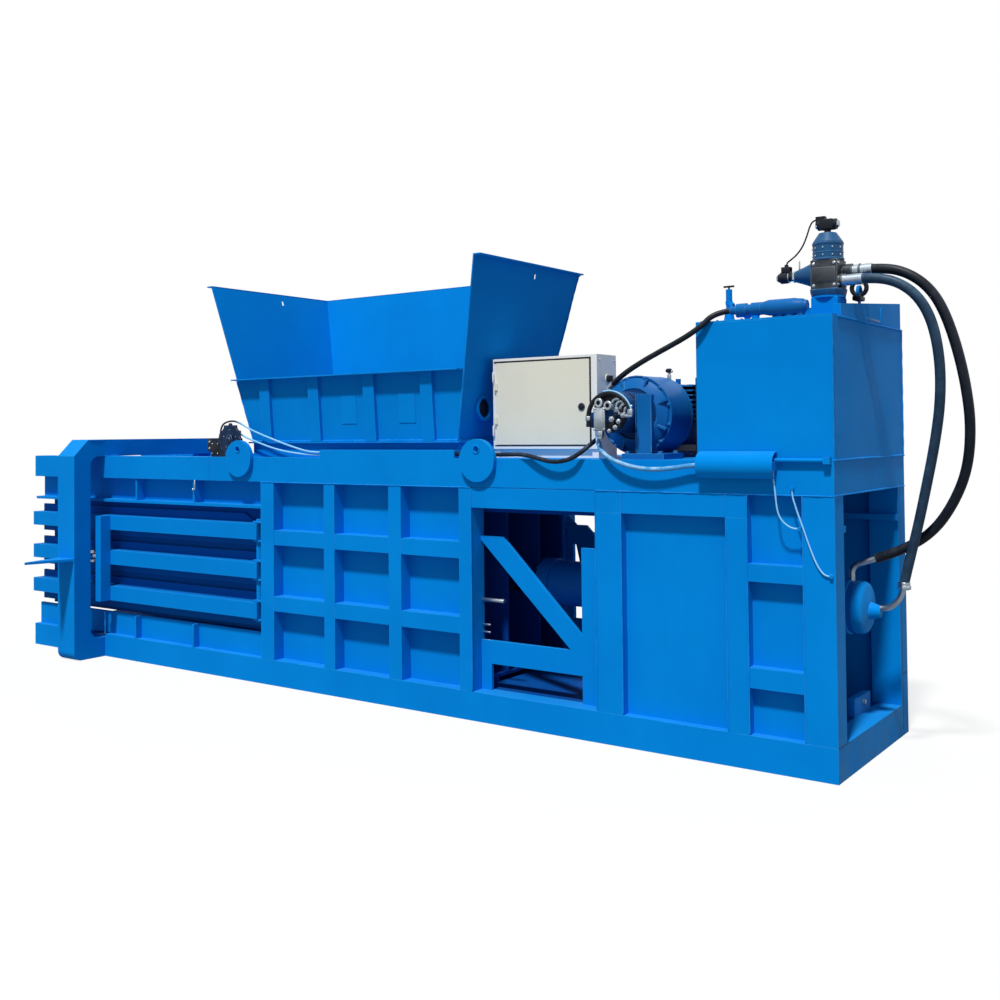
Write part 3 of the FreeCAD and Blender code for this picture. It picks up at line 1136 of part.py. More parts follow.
def cover_plate(label, near, x_span):
    """One stretch of the raised cover with its sloping top."""
    return plate(label, "yz", ((near, lid_top), (s.cover_far, lid_top),
                               (s.cover_far, cover_height(s.cover_far)),
                               (near, cover_height(near))), x_span)


eye_x = right_end - s.cover_strip / 2
eye_top = cover_height(s.eye_y) + 2 * s.eye_radius
eye_ring = cut("EyeRing", rod("EyeDisc", "x", (s.eye_y, eye_top), s.eye_radius,
                              (eye_x - s.eye_wire, eye_x + s.eye_wire)),
               (rod("EyeHole", "x", (s.eye_y, eye_top), s.eye_radius - 1.4 * s.eye_wire,
                    (eye_x - s.eye_wire, eye_x + s.eye_wire)),))
NODES["tank_cover"] = join("TankCover", (
    eye_ring,
    rod("EyeStem", "z", (eye_x, s.eye_y), s.eye_wire,
        (cover_height(s.eye_y - 1.2 * s.eye_wire), eye_top - s.eye_radius + s.eye_wire)),
    cover_plate("CoverStrip", -s.cover_near, (right_end - s.cover_strip, right_end)),
    cover_plate("CoverHood", -s.cover_deep_near, (s.cover_deep_left, right_end - s.cover_strip)),
))

# ---------------------------------------------------------------------------
# Control valve stack on the tank
# ---------------------------------------------------------------------------
valve_axis = (s.valve_x, s.valve_y)
valve_x_span = (s.valve_x - s.valve_half, s.valve_x + s.valve_half)
valve_y_span = (s.valve_y - s.valve_half, s.valve_y + s.valve_half)
pedestal_top = lid_top + s.pedestal_height
disc_top = pedestal_top + s.valve_disc_height
block_top = disc_top + s.valve_block_height
head_top = block_top + s.valve_head_height
cap_top = head_top + s.valve_cap_height
valve_base = join("ValveBase", (
    box("Pedestal", valve_x_span, valve_y_span, (lid_top, pedestal_top)),
    rod("ValveDisc", "z", valve_axis, s.valve_disc_radius, (pedestal_top, disc_top)),
))
NODES["valve_block"] = box("ValveBlock", valve_x_span, valve_y_span, (disc_top, block_top))
NODES["valve_head"] = join("ValveHead", (
    rod("HeadBody", "z", valve_axis, s.valve_head_radius, (block_top, head_top)),
    cone("HeadCap", "z", valve_axis, s.valve_head_radius, s.valve_cap_radius,
         (head_top, cap_top)),
))
pilot_left = valve_x_span[0] - s.pilot_cone
side_pilot = join("SidePilot", (
    cone("PilotCone", "x", (s.valve_y, s.pilot_z), s.pilot_radius, s.valve_half * 0.9,
         (pilot_left, valve_x_span[0])),
    rod("PilotCoil", "x", (s.valve_y, s.pilot_z), s.pilot_radius * 0.8,
        (pilot_left - s.pilot_length, pilot_left)),
    box("PilotPlug", (pilot_left - s.pilot_length * 0.8, pilot_left - s.pilot_length * 0.3),
        (s.valve_y - s.pilot_stem, s.valve_y + s.pilot_stem),
        (s.pilot_z, s.pilot_z + 2 * s.pilot_radius)),
))
top_coil_z = cap_top + s.pilot_stem + s.pilot_radius
top_pilot = join("TopPilot", (
    rod("TopStem", "z", valve_axis, s.pilot_stem, (cap_top, top_coil_z)),
    rod("TopCoil", "x", (s.valve_y, top_coil_z), s.pilot_radius,
        (s.valve_x - s.pilot_length / 2, s.valve_x + s.pilot_length / 2)),
    box("TopPlug", (s.valve_x - s.pilot_length * 0.6, s.valve_x - s.pilot_length * 0.1),
        (s.valve_y - s.pilot_stem, s.valve_y + s.pilot_stem),
        (top_coil_z, top_coil_z + 1.6 * s.pilot_radius)),
))
NODES["pilot_valves"] = together("PilotValves", (side_pilot, top_pilot))

# ---------------------------------------------------------------------------
# Return line with its stop valve
# ---------------------------------------------------------------------------
pipe_centre = (s.pipe_y, s.pipe_z)
union_left = s.pipe_left + s.pipe_nut_length + s.pipe_union_gap
NODES["return_pipe"] = join("ReturnPipe", (
    rod("PipeRun", "x", pipe_centre, s.pipe_radius, (s.pipe_left, s.pipe_right)),
    rod("PipeNut", "x", pipe_centre, s.pipe_nut_radius,
        (s.pipe_left, s.pipe_left + s.pipe_nut_length)),
    rod("UnionNut", "x", pipe_centre, s.pipe_nut_radius,
        (union_left, union_left + s.pipe_nut_length)),
    cone("PipeTaper", "x", pipe_centre, s.pipe_radius, s.pipe_body_radius,
         (s.pipe_body_left - s.pipe_taper, s.pipe_body_left)),
    rod("PipeBody", "x", pipe_centre, s.pipe_body_radius,
        (s.pipe_body_left, s.pipe_right - s.pipe_taper)),
    cone("PipeEnd", "x", pipe_centre, s.pipe_body_radius, s.pipe_radius,
         (s.pipe_right - s.pipe_taper, s.pipe_right)),
    rod("PipeDrop", "z", (s.pipe_right - s.pipe_taper - s.pipe_radius, s.pipe_y), s.pipe_radius,
        (lid_top, s.pipe_z)),
    rod("PipeStand", "z", (s.pipe_body_left + s.pipe_radius, s.pipe_y), s.pipe_radius / 2,
        (lid_top, s.pipe_z)),
))
stem_axis = (s.stem_x, s.stem_y)
stem_top = lid_top + s.stem_height
stop_valve_body = cut("StopValveBody", join("StopValveWelded", (
    cone("StopValveFoot", "z", stem_axis, 2 * s.stem_radius, s.stem_radius,
         (lid_top, lid_top + s.stem_height / 2)),
    rod("StopValveNeck", "z", stem_axis, s.stem_radius, (lid_top + s.stem_height / 2, stem_top)),
)), (rod("StemBore", "z", stem_axis, s.handle_radius + s.running_clearance,
         (stem_top - s.stem_height / 3, stem_top)),))
NODES["tank_lid"] = join("TankLid", (lid_sheet, valve_base, stop_valve_body))
NODES["stop_valve_handle"] = join("StopValveHandle", (
    rod("HandleStem", "z", stem_axis, s.handle_radius,
        (stem_top - s.stem_height / 4, stem_top + 3 * s.handle_radius)),
    rod("HandleBar", "x", (s.stem_y, stem_top + 3 * s.handle_radius), s.handle_radius,
        (s.stem_x - s.handle_half, s.stem_x + s.handle_half)),
))

# ---------------------------------------------------------------------------
# Half-round cable guard on the top beam
# ---------------------------------------------------------------------------
guard_axis = (near_outer, s.cable_guard_z)
cable_guard_x = (s.cable_guard_left, s.cable_guard_right)
guard_shell = cut("GuardShell", rod("GuardRound", "x", guard_axis, s.cable_guard_radius,
                                    cable_guard_x), (
    rod("GuardHollow", "x", guard_axis, s.cable_guard_radius - s.cable_guard_wall,
        cable_guard_x),
    box("GuardBehind", cable_guard_x, (near_outer, near_outer + 2 * s.cable_guard_radius),
        (s.cable_guard_z - 2 * s.cable_guard_radius, s.cable_guard_z + 2 * s.cable_guard_radius)),
    box("GuardOpenFoot", cable_guard_x, (near_outer - s.cable_guard_radius / 2, near_outer),
        (s.cable_guard_z - 2 * s.cable_guard_radius, s.cable_guard_z)),
))


def clip(label, x, z, depth, half):
    """A small cable clip on the outer face of the near beam or corner post."""
    return box(label, (x - half, x + half), (near_outer - depth, near_outer), (z - half, z + half))


guard_clamps = [
    box("GuardClamp%d" % index, (x, x + s.clamp_length),
        (near_outer - s.cable_guard_radius + s.cable_guard_wall, near_outer),
        (s.cable_guard_z - s.clamp_half, s.cable_guard_z + s.clamp_half))
    for index, x in enumerate((s.cable_guard_left + s.clamp_length,
                               s.cable_guard_right - s.clamp_length))]
guard_rod_z = s.cable_guard_z + s.clamp_half + s.guard_rod_radius / 2
guard_rod = rod("GuardRod", "x", (near_outer - s.pilot_stem, guard_rod_z), s.guard_rod_radius,
                (s.cable_guard_right - s.clamp_length, s.clip_x))
NODES["top_beam_near"] = join("TopBeamNear", [top_beam, cable_tray, guard_shell] + guard_clamps + [
    guard_rod, clip("RodClip", s.clip_x, guard_rod_z, 2 * s.pilot_stem, s.pilot_stem),
    clip("WireClipA", s.wire_clip_a_x, s.wire_clip_a_z, s.clip_depth, s.clip_half)])

# ---------------------------------------------------------------------------
# Hose fittings
# ---------------------------------------------------------------------------


def cord_shape(points, radius):
    """A round cord through the points, its straight runs joined by tangent arcs."""
    route = [Vector(*[as_size(value).number for value in point]) for point in points]
    edges = []
    start = route[0]
    for before, corner, after in zip(route, route[1:], route[2:]):
        run_in, run_out = corner - before, after - corner
        shorter = min(run_in.Length, run_out.Length)
        turn = run_in.getAngle(run_out)
        arc_radius = BEND_SHARE * shorter / math.tan(turn / 2)
        first = corner - run_in / run_in.Length * BEND_SHARE * shorter
        second = corner + run_out / run_out.Length * BEND_SHARE * shorter
        inward = (first + second) / 2 - corner
        centre = corner + inward / inward.Length * math.hypot(arc_radius, BEND_SHARE * shorter)
        top = centre + (corner - centre) / (corner - centre).Length * arc_radius
        edges.append(Part.LineSegment(start, first).toShape())
        edges.append(Part.Arc(first, top, second).toShape())
        start = second
    edges.append(Part.LineSegment(start, route[-1]).toShape())
    spine = Part.Wire(edges)
    circle = Part.Circle(route[0], route[1] - route[0], as_size(radius).number)
    return spine.makePipeShell([Part.Wire(circle.toShape())], True, True), spine.Length


BEND_SHARE = 0.45


def cord(label, points, radius):
    """A cord as an object of its own."""
    piece = document.addObject("Part::Feature", label)
    shape, length = cord_shape(points, radius)
    expected = math.pi * radius.number ** 2 * length
    if abs(shape.Volume / expected - 1) > 0.01:
        raise RuntimeError("%s does not have the volume of its route" % label)
    piece.Shape = shape
    return piece


def between(first, second, share):
    """The point at the given share of the way from one point to another."""
    return tuple(as_size(a) + (as_size(b) - a) * share for a, b in zip(first, second))


def stretch(start, end):
    """Gives the place at any share of the way from one x to another."""
    return lambda share: as_size(start) + (as_size(end) - start) * share


rear = right_end
cable_x = terminal_x[0] + 32
bundle_x = terminal_x[0] + 15
pump_run = stretch(outlet_x, s.pipe_left)
motor_run = stretch(cable_x, s.cable_guard_left + s.clamp_length)
bundle_run = stretch(s.tray_right, bundle_x)
valve_face = valve_x_span[1]
upper_start = (valve_face + s.upper_ferrule, s.upper_fitting_y, s.upper_fitting_z)
lower_start = (valve_face + s.lower_ferrule, s.lower_fitting_y, s.lower_fitting_z)
cap_middle_x = s.barrel_right + s.cap_length / 2
barrel_top_z = s.cylinder_z + s.barrel_radius
upper_corner = (cap_middle_x, ZERO, barrel_top_z + 70)
upper_last = (rear + 152, 32, 1022)
upper_end = between(upper_corner, upper_last, 0.45)
lower_corner = (cap_right + 205, ZERO, s.cylinder_z + 60)
lower_last = (rear + 184, -22, 985)
lower_end = between(lower_corner, lower_last, 0.36)
pump_corner = (outlet_x, outlet_y, outlet_z + 20)
pump_first = (pump_run(0.137), -530, 1900)
pump_hose_start = between(pump_corner, pump_first, 0.3)
upper_elbow = cord("UpperElbow", (
    (cap_middle_x, ZERO, barrel_top_z - 5), upper_corner, upper_end), s.elbow_radius)
lower_elbow = cord("LowerElbow", (
    (cap_right + 1, ZERO, s.cylinder_z), (cap_right + 150, ZERO, s.cylinder_z + 4),
    lower_corner, lower_end), s.elbow_radius)
pump_elbow = cord("PumpElbow", (
    (outlet_x, outlet_y, outlet_z), pump_corner, pump_hose_start), s.elbow_radius)
barrel_round = rod("BarrelRound", "x", middle, s.barrel_radius + s.weld_gap,
                   (s.barrel_left, cap_right))
NODES["hose_fittings"] = together("HoseFittings", (
    join("UpperFitting", (
        rod("UpperNut", "x", upper_start[1:], s.nut_radius,
            (valve_face, valve_face + s.nut_length)),
        rod("UpperFerrule", "x", upper_start[1:], s.fitting_radius,
            (valve_face + s.nut_length, upper_start[0])))),
    join("LowerFitting", (
        rod("LowerNut", "x", lower_start[1:], s.nut_radius,
            (valve_face, valve_face + s.nut_length)),
        rod("LowerFerrule", "x", lower_start[1:], s.fitting_radius,
            (valve_face + s.nut_length, lower_start[0])))),
    cut("UpperPort", upper_elbow, (barrel_round,)),
    join("LowerPort", (
        cone("LowerPortCone", "x", middle, s.nut_radius + 8, s.elbow_radius,
             (cap_right, cap_right + 105)),
        lower_elbow)),
    pump_elbow,
))

# ---------------------------------------------------------------------------
# Hoses and cables
# ---------------------------------------------------------------------------
NODES["hose_upper"] = cord("HoseUpper", (
    upper_start, (rear + 150, s.upper_fitting_y, s.upper_fitting_z), (rear + 253, -217, 2338),
    (rear + 340, -206, 2268), (rear + 400, -191, 2165), (rear + 448, -165, 2000),
    (rear + 480, -135, 1815), (rear + 492, -100, 1623), (rear + 462, -45, 1423),
    (rear + 388, 4, 1260), (rear + 285, 38, 1116), upper_last, upper_end), s.hose_radius)
NODES["hose_lower"] = cord("HoseLower", (
    lower_start, (rear + 120, s.lower_fitting_y, s.lower_fitting_z), (rear + 215, -271, 2295),
    (rear + 292, -262, 2238), (rear + 345, -246, 2152), (rear + 375, -228, 2040),
    (rear + 386, -200, 1890), (rear + 371, -160, 1715), (rear + 332, -118, 1530),
    (rear + 279, -76, 1327), (rear + 230, -46, 1140), lower_last, lower_end), s.hose_radius)
NODES["pump_hose"] = cord("PumpHose", (
    pump_hose_start, pump_first, (pump_run(0.3278), -566, 1962), (pump_run(0.4993), -580, 2014),
    (pump_run(0.6447), -584, 2060), (pump_run(0.7284), -580, 2094), (pump_run(0.7874), -568, 2126),
    (pump_run(0.8313), -553, 2162), (pump_run(0.8807), -527, 2181), (pump_run(0.9383), s.pipe_y, s.pipe_z),
    (s.pipe_left, s.pipe_y, s.pipe_z)), s.pump_hose_radius)
NODES["motor_cable"] = cord("MotorCable", (
    (cable_x, -528, terminal_z), (cable_x, -528, 1592), (motor_run(0.0388), -554, 1533),
    (motor_run(0.1168), -578, 1487), (motor_run(0.2616), -594, 1448),
    (motor_run(0.4446), -597, 1421), (motor_run(0.6181), -595, 1417),
    (motor_run(0.7772), -590, 1428), (motor_run(0.8886), -586, s.cable_guard_z),
    (s.cable_guard_left + s.clamp_length, -586, s.cable_guard_z)), s.conduit_radius)
NODES["cabinet_cables"] = cord("CabinetCables", (
    (s.tray_right, -528, 1490), (bundle_run(0.0984), -528, 1490),
    (bundle_run(0.2405), -525, 1488), (bundle_run(0.3827), -530, 1487),
    (bundle_run(0.5139), -552, 1491), (bundle_run(0.6342), -586, 1474),
    (bundle_run(0.7654), -596, 1448), (bundle_run(0.8802), -593, 1464),
    (bundle_run(0.9458), -572, 1506), (bundle_run(0.9818), -528, 1548), (bundle_x, -486, 1576),
    (bundle_x, -470, 1604), (bundle_x, -470, terminal_z)), s.bundle_radius)
counter_cable_a = cord("CounterCableA", (
    (-1045, -515, s.counter_top), (-1045, -515, 1640), (-1008, -521, 1692), (-905, -524, 1708),
    (-820, -527, 1684), (-736, -529, 1646), (-600, -530, 1604), (-451, -531, 1561),
    (-330, -532, 1530), (-215, -533, 1504), (-140, -534, 1497), (s.tray_left, -534, 1497)),
    s.thin_cord_radius)
counter_cable_b = cord("CounterCableB", (
    (-1000, -500, s.counter_top), (-1000, -500, 1612), (-978, -502, 1636), (-925, -506, 1645),
    (-860, -511, 1622), (-790, -516, 1594), (-690, -520, 1566), (-560, -522, 1530),
    (-430, -523, 1504), (-300, -524, 1489), (-190, -525, 1481), (-130, -525, 1480),
    (s.tray_left, -525, 1480)), s.thin_cord_radius)
NODES["counter_cables"] = together("CounterCables", (counter_cable_a, counter_cable_b))
wire_y = near_outer - s.clip_depth / 2
clamp_low = s.cable_guard_z - s.clamp_half
guard_wire_a = cord("GuardWireA", (
    (rear - 282, -570, clamp_low), (rear - 282, -570, 1385), (rear - 274, -572, 1330),
    (rear - 268, -574, 1270), (rear - 261, -574, 1222), (rear - 243, -572, 1186),
    (rear - 217, -565, 1162), (rear - 194, wire_y, 1150),
    (s.wire_clip_b_x - s.clip_half, wire_y, s.wire_clip_b_z)), s.wire_radius)
guard_wire_b = cord("GuardWireB", (
    (s.wire_clip_a_x, wire_y, s.wire_clip_a_z - s.clip_half), (s.wire_clip_a_x, wire_y, 1300),
    (rear - 185, wire_y, 1265), (rear - 169, wire_y, 1215), (rear - 150, wire_y, 1165),
    (rear - 130, wire_y, 1105), (rear - 110, wire_y, 1050), (rear - 90, wire_y, 1000),
    (rear - 66, wire_y, 960), (rear - 42, wire_y, s.wire_clip_c_z),
    (s.wire_clip_c_x - s.clip_half, wire_y, s.wire_clip_c_z)), s.wire_radius)
NODES["guard_wires"] = together("GuardWires", (guard_wire_a, guard_wire_b))
top_plug_x = s.valve_x - 0.6 * s.pilot_length
NODES["pilot_wire"] = cord("PilotWire", (
    (top_plug_x, s.valve_y, 2630), (s.valve_x - 70, s.valve_y, 2630), (s.valve_x - 87, -252, 2606),
    (s.valve_x - 101, -254, 2560), (s.valve_x - 123, -255, 2508), (s.valve_x - 155, -253, 2470),
    (s.valve_x - 187, -251, 2448),
    (s.valve_x - 210, s.valve_y, 2434), (s.valve_x - 210, s.valve_y, s.pilot_z + 2 * s.pilot_radius)),
    s.wire_radius)

# ---------------------------------------------------------------------------
# Checks and export
# ---------------------------------------------------------------------------
document.recompute()
os.makedirs("parts", exist_ok=True)
for item in document.Objects:
    if "Invalid" in item.State or "Error" in item.State:
        raise RuntimeError("%s could not be built" % item.Label)
for name, piece in NODES.items():
    if piece.Shape.isNull() or not piece.Shape.isValid():
        raise RuntimeError("%s has no valid shape" % name)
    piece.Shape.exportStep("parts/%s.step" % name)
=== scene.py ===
import json
import logging
import math
from dataclasses import dataclass
from enum import Enum
from itertools import product
from typing import Dict, Iterable, List, Optional, Sequence, Tuple

import bmesh
import bpy
from mathutils import Matrix, Vector


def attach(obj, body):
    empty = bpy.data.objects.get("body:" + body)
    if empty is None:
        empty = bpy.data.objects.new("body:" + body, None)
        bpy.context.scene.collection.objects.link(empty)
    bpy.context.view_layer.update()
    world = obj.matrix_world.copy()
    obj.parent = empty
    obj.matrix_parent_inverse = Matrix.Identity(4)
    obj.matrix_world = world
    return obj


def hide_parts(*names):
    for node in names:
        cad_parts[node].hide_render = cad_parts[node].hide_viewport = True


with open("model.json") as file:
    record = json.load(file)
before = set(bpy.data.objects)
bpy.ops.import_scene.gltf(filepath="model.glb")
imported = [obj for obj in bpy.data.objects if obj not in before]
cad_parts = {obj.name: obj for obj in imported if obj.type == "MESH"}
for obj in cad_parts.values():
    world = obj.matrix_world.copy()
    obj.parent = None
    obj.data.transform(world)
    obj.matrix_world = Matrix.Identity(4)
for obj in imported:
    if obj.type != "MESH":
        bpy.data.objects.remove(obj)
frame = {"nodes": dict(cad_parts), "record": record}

Pair = Tuple[float, float]
Point = Sequence[float]
Colour = Tuple[float, float, float]
Corners = List[bmesh.types.BMVert]
log = logging.getLogger("baler")

UP = (0, 0, 1)
MERGE = 1e-6  # corners closer than this become one
SMOOTH = 35.0  # edges that turn less than this many degrees are shaded smooth
BEAD_PASS, BEAD_PASSES = 0.012, 80  # a weld pass's length, and the most in one bead
BEAD_WAVES = ((0.22, 450.0), (0.1, 97.0))  # the swellings of a bead: their share and pitch
# A bolt's washer and head, as shares of the thread's diameter.
WASHER_HEIGHT, WASHER_RADIUS = 0.2, 1.05
HEAD_HEIGHT, HEAD_RADIUS, HEAD_EDGE = 0.65, 0.9, 0.08


class Axis(Enum):
    """The direction that a round part or a bolt points in."""

    X = Vector((1.0, 0.0, 0.0))
    Y = Vector((0.0, 1.0, 0.0))
    Z = Vector((0.0, 0.0, 1.0))

    def across(self) -> Vector:
        """A direction square to it."""
        return Vector((1, 0, 0)) if self is Axis.Z else Vector(UP)


X, Y, Z = Axis


class Stiffness(Enum):
    """How hard a cord is to bend."""

    STIFF = "stiff"
    MEDIUM = "medium"
    LIMP = "limp"


# ---- shader maths


@dataclass(frozen=True)
class Signal:
    """A node's output, with operators that add Math nodes."""

    recipe: "Recipe"
    socket: Optional[bpy.types.NodeSocket]

    def _math(self, operation: str, other: object) -> "Signal":
        """Adds one Math node."""
        return self.recipe.node("ShaderNodeMath", {"operation": operation}, {0: self, 1: other})

    def __add__(self, other: object) -> "Signal":
        """The sum."""
        return self._math("ADD", other)

    def __mul__(self, other: object) -> "Signal":
        """The product."""
        return self._math("MULTIPLY", other)

    __radd__, __rmul__ = __add__, __mul__

    def either(self, other: "Signal") -> "Signal":
        """The larger of the two."""
        return self._math("MAXIMUM", other)

    def ramp(self, low: float, high: float) -> "Signal":
        """The signal stretched so that low becomes 0 and high becomes 1, and clamped."""
        return self.recipe.node("ShaderNodeMapRange", {"clamp": True},
                                {"Value": self, "From Min": low, "From Max": high})


class Recipe:
    """The node tree of one material or world."""

    def __init__(self, owner: bpy.types.ID) -> None:
        """Empties the node tree of that material or world."""
        owner.use_nodes = True
        self.tree = owner.node_tree
        self.tree.nodes.clear()

    def node(self, kind: str, settings: Dict[str, object], sockets: Dict[object, object],
             output: object = 0) -> Signal:
        """Adds a node.

        Args:
            kind: The node's type name.
            settings: Its properties, set before the sockets.
            sockets: Values, signals or colours for its inputs, by name or place.
            output: The output that is returned, by name or place.

        Returns:
            The chosen output, which is empty for the node that ends the tree.
        """
        made = self.tree.nodes.new(kind)
        for key, value in settings.items():
            setattr(made, key, value)
        for key, value in sockets.items():
            socket = made.inputs[key]
            if isinstance(value, Signal):
                self.tree.links.new(value.socket, socket)
            else:
                socket.default_value = (*value, 1.0) if socket.type == "RGBA" else value
        return Signal(self, made.outputs[output] if made.outputs else None)

    def place(self) -> Signal:
        """The point on the object, in metres."""
        return self.node("ShaderNodeTexCoord", {}, {}, "Object")

    def along(self, axis: Axis) -> Signal:
        """The place along one axis."""
        return self.node("ShaderNodeSeparateXYZ", {}, {0: self.place()}, axis.name)

    def direction(self) -> Signal:
        """The direction that the surface faces."""
        return self.node("ShaderNodeNewGeometry", {}, {}, "Normal")

    def facing(self, axis: Axis) -> Signal:
        """How far the surface faces along one axis."""
        return self.node("ShaderNodeSeparateXYZ", {}, {0: self.direction()}, axis.name)

    def noise(self, scale: float, detail: float = 3.0, along: Point = (1, 1, 1),
              roughness: float = 0.5) -> Signal:
        """Soft cloudy noise from 0 to 1.

        Args:
            scale: The pattern's scale per metre.
            detail: How many finer layers it has.
            along: The share of that scale in each direction.
            roughness: The strength of the finer layers.

        Returns:
            The noise.
        """
        spot = self.node("ShaderNodeMapping", {}, {"Vector": self.place(), "Scale": along})
        return self.node("ShaderNodeTexNoise", {}, {
            "Vector": spot, "Scale": scale, "Detail": detail, "Roughness": roughness}, "Fac")

    def mix(self, share: object, first: object, second: object) -> Signal:
        """A colour between two colours."""
        return self.node("ShaderNodeMix", {"data_type": "RGBA"},
                         {0: share, 6: first, 7: second}, 2)

    def blend(self, share: object, first: Signal, second: Signal) -> Signal:
        """A shader between two shaders."""
        return self.node("ShaderNodeMixShader", {}, {0: share, 1: first, 2: second})

    def rounded(self, radius: float) -> Signal:
        """A normal that softens the edges to a small radius."""
        return self.node("ShaderNodeBevel", {"samples": 4}, {"Radius": radius})

    def edge(self, width: float) -> Signal:
        """1 on outer and inner edges of that width, and 0 on flat surfaces."""
        same = self.node("ShaderNodeVectorMath", {"operation": "DOT_PRODUCT"},
                         {0: self.rounded(width), 1: self.direction()}, "Value")
        return same.ramp(0.995, 0.9)

    def bump(self, relief: Signal, distance: float, under: Optional[Signal] = None) -> Signal:
        """A bump of that depth in metres, on top of another normal if one is given."""
        sockets = {"Height": relief, "Distance": distance, "Strength": 1.0}
        return self.node("ShaderNodeBump", {}, {**sockets, "Normal": under} if under else sockets)

    def surface(self, sockets: Dict[object, object]) -> None:
        """Ends the material with one shader with those inputs."""
        shader = self.node("ShaderNodeBsdfPrincipled", {}, sockets)
        self.node("ShaderNodeOutputMaterial", {}, {"Surface": shader})


# ---- finishes


@dataclass(frozen=True)
class Enamel:
    """Sprayed enamel on steel sheet, with faint patches, painted edge highlights, painted shade
    deep in channels, and dust.
    """

    colour: Colour = (0.001, 0.245, 0.72)
    shade: Colour = (0.001, 0.19, 0.6)
    # The colour of the painted highlight on the edges.
    pale: Colour = (0.05, 0.42, 0.95)
    dust: float = 0.35
    roughness: float = 0.42
    waves: float = 0.0012
    gloss: float = 0.015
    # How much shade is painted deep in the channels; only the doors use it.
    inner_shade: float = 0.0
    dust_colour: Colour = (0.13, 0.25, 0.31)
    # The colour of that painted shade, and the squared Y over which it fades in.
    inner_shade_colour: Colour = (0.001, 0.045, 0.26)
    inner_shade_reach: Pair = (0.33, 0.21)
    dusty_below: Pair = (1.15, 0.2)
    dusty_end: Pair = (2.8, 3.05)

    def apply(self, mix: Recipe) -> None:
        """Mixes the finish.

        Args:
            mix: The empty recipe that it goes into.
        """
        patches = mix.noise(1.7, 4.0).ramp(0.35, 0.68)
        streaks = mix.noise(14.0, 3.0, (1.0, 1.0, 0.12)).ramp(0.42, 0.75)
        base = mix.mix(patches * 0.45 + streaks * 0.12, self.colour, self.shade)
        # Painted highlight: rounded edges turn paler, patchily.
        edges = mix.edge(0.005) * mix.noise(9.0, 2.0).ramp(0.3, 0.6)
        base = mix.mix(edges * 0.5, base, self.pale)
        # Painted shade: darker towards the middle in Y, deep in the channels between the door's
        # slats, where shade falls.
        if self.inner_shade:
            inner_shade_mask = (mix.along(Y) * mix.along(Y)).ramp(*self.inner_shade_reach)
            base = mix.mix(inner_shade_mask * self.inner_shade, base, self.inner_shade_colour)
        low = mix.along(Z).ramp(*self.dusty_below)
        cloud = mix.noise(5.0, 6.0, roughness=0.62).ramp(0.4, 0.72)
        speckle = mix.noise(140.0, 3.0, roughness=0.7).ramp(0.42, 0.58)
        sideways = mix.facing(X).ramp(0.5, 0.95) * mix.along(X).ramp(*self.dusty_end)
        upwards = mix.facing(Z).ramp(0.6, 0.95)
        dusty = ((sideways * (low * 0.8 + 0.2) * (speckle * 1.5 + 0.1) + upwards * 0.2)
                 * (cloud * 0.6 + 0.4))
        base = mix.mix((dusty * self.dust).ramp(0.0, 1.0), base, self.dust_colour)
        relief = mix.bump(mix.noise(2.3, 2.0), self.waves * 6.0, mix.rounded(0.0025))
        mix.surface({"Base Color": base, "Specular IOR Level": self.gloss,
                     "Roughness": patches * 0.1 + dusty * 0.25 + self.roughness,
                     "Normal": mix.bump(mix.noise(260.0, 2.0), 0.00012, relief)})


@dataclass(frozen=True)
class Machined:
    """Bare or plated steel, turned, ground or polished."""

    colour: Colour
    shade: Colour
    roughness: float
    grain: Point = (1.0, 1.0, 8.0)
    relief: float = 0.00008
    glint: Colour = (0.75, 0.78, 0.8)

    def apply(self, mix: Recipe) -> None:
        """Mixes the finish.

        Args:
            mix: The empty recipe that it goes into.
        """
        grain = mix.noise(90.0, 4.0, self.grain)
        stains = mix.noise(11.0, 5.0, roughness=0.6).ramp(0.42, 0.72)
        base = mix.mix(stains * 0.7 + grain * 0.3, self.colour, self.shade)
        mix.surface({"Base Color": mix.mix(mix.edge(0.003) * 0.4, base, self.glint),
                     "Roughness": grain * 0.14 + stains * 0.14 + self.roughness,
                     "Normal": mix.bump(grain, self.relief, mix.rounded(0.0015)),
                     "Metallic": 1.0})


@dataclass(frozen=True)
class Coat:
    """Powder coat or cast paint with a fine orange-peel skin."""

    colour: Colour
    shade: Colour
    roughness: float = 0.5
    peel: float = 240.0
    depth: float = 0.0002
    # The colour of the painted highlight on the edges.
    edge: Colour = (0.16, 0.2, 0.28)
    gloss: float = 0.15

    def apply(self, mix: Recipe) -> None:
        """Mixes the finish.

        Args:
            mix: The empty recipe that it goes into.
        """
        cloud = mix.noise(4.0, 5.0, roughness=0.6).ramp(0.35, 0.75)
        specks = mix.noise(60.0, 3.0).ramp(0.6, 0.72)
        base = mix.mix(cloud * 0.6 + specks * 0.25, self.colour, self.shade)
        peel = mix.bump(mix.noise(self.peel, 2.0), self.depth, mix.rounded(0.002))
        # Painted highlight: the rounded edges take the edge colour.
        mix.surface({"Base Color": mix.mix(mix.edge(0.003) * 0.2, base, self.edge),
                     "Roughness": cloud * 0.12 + self.roughness, "Normal": peel,
                     "Specular IOR Level": self.gloss})


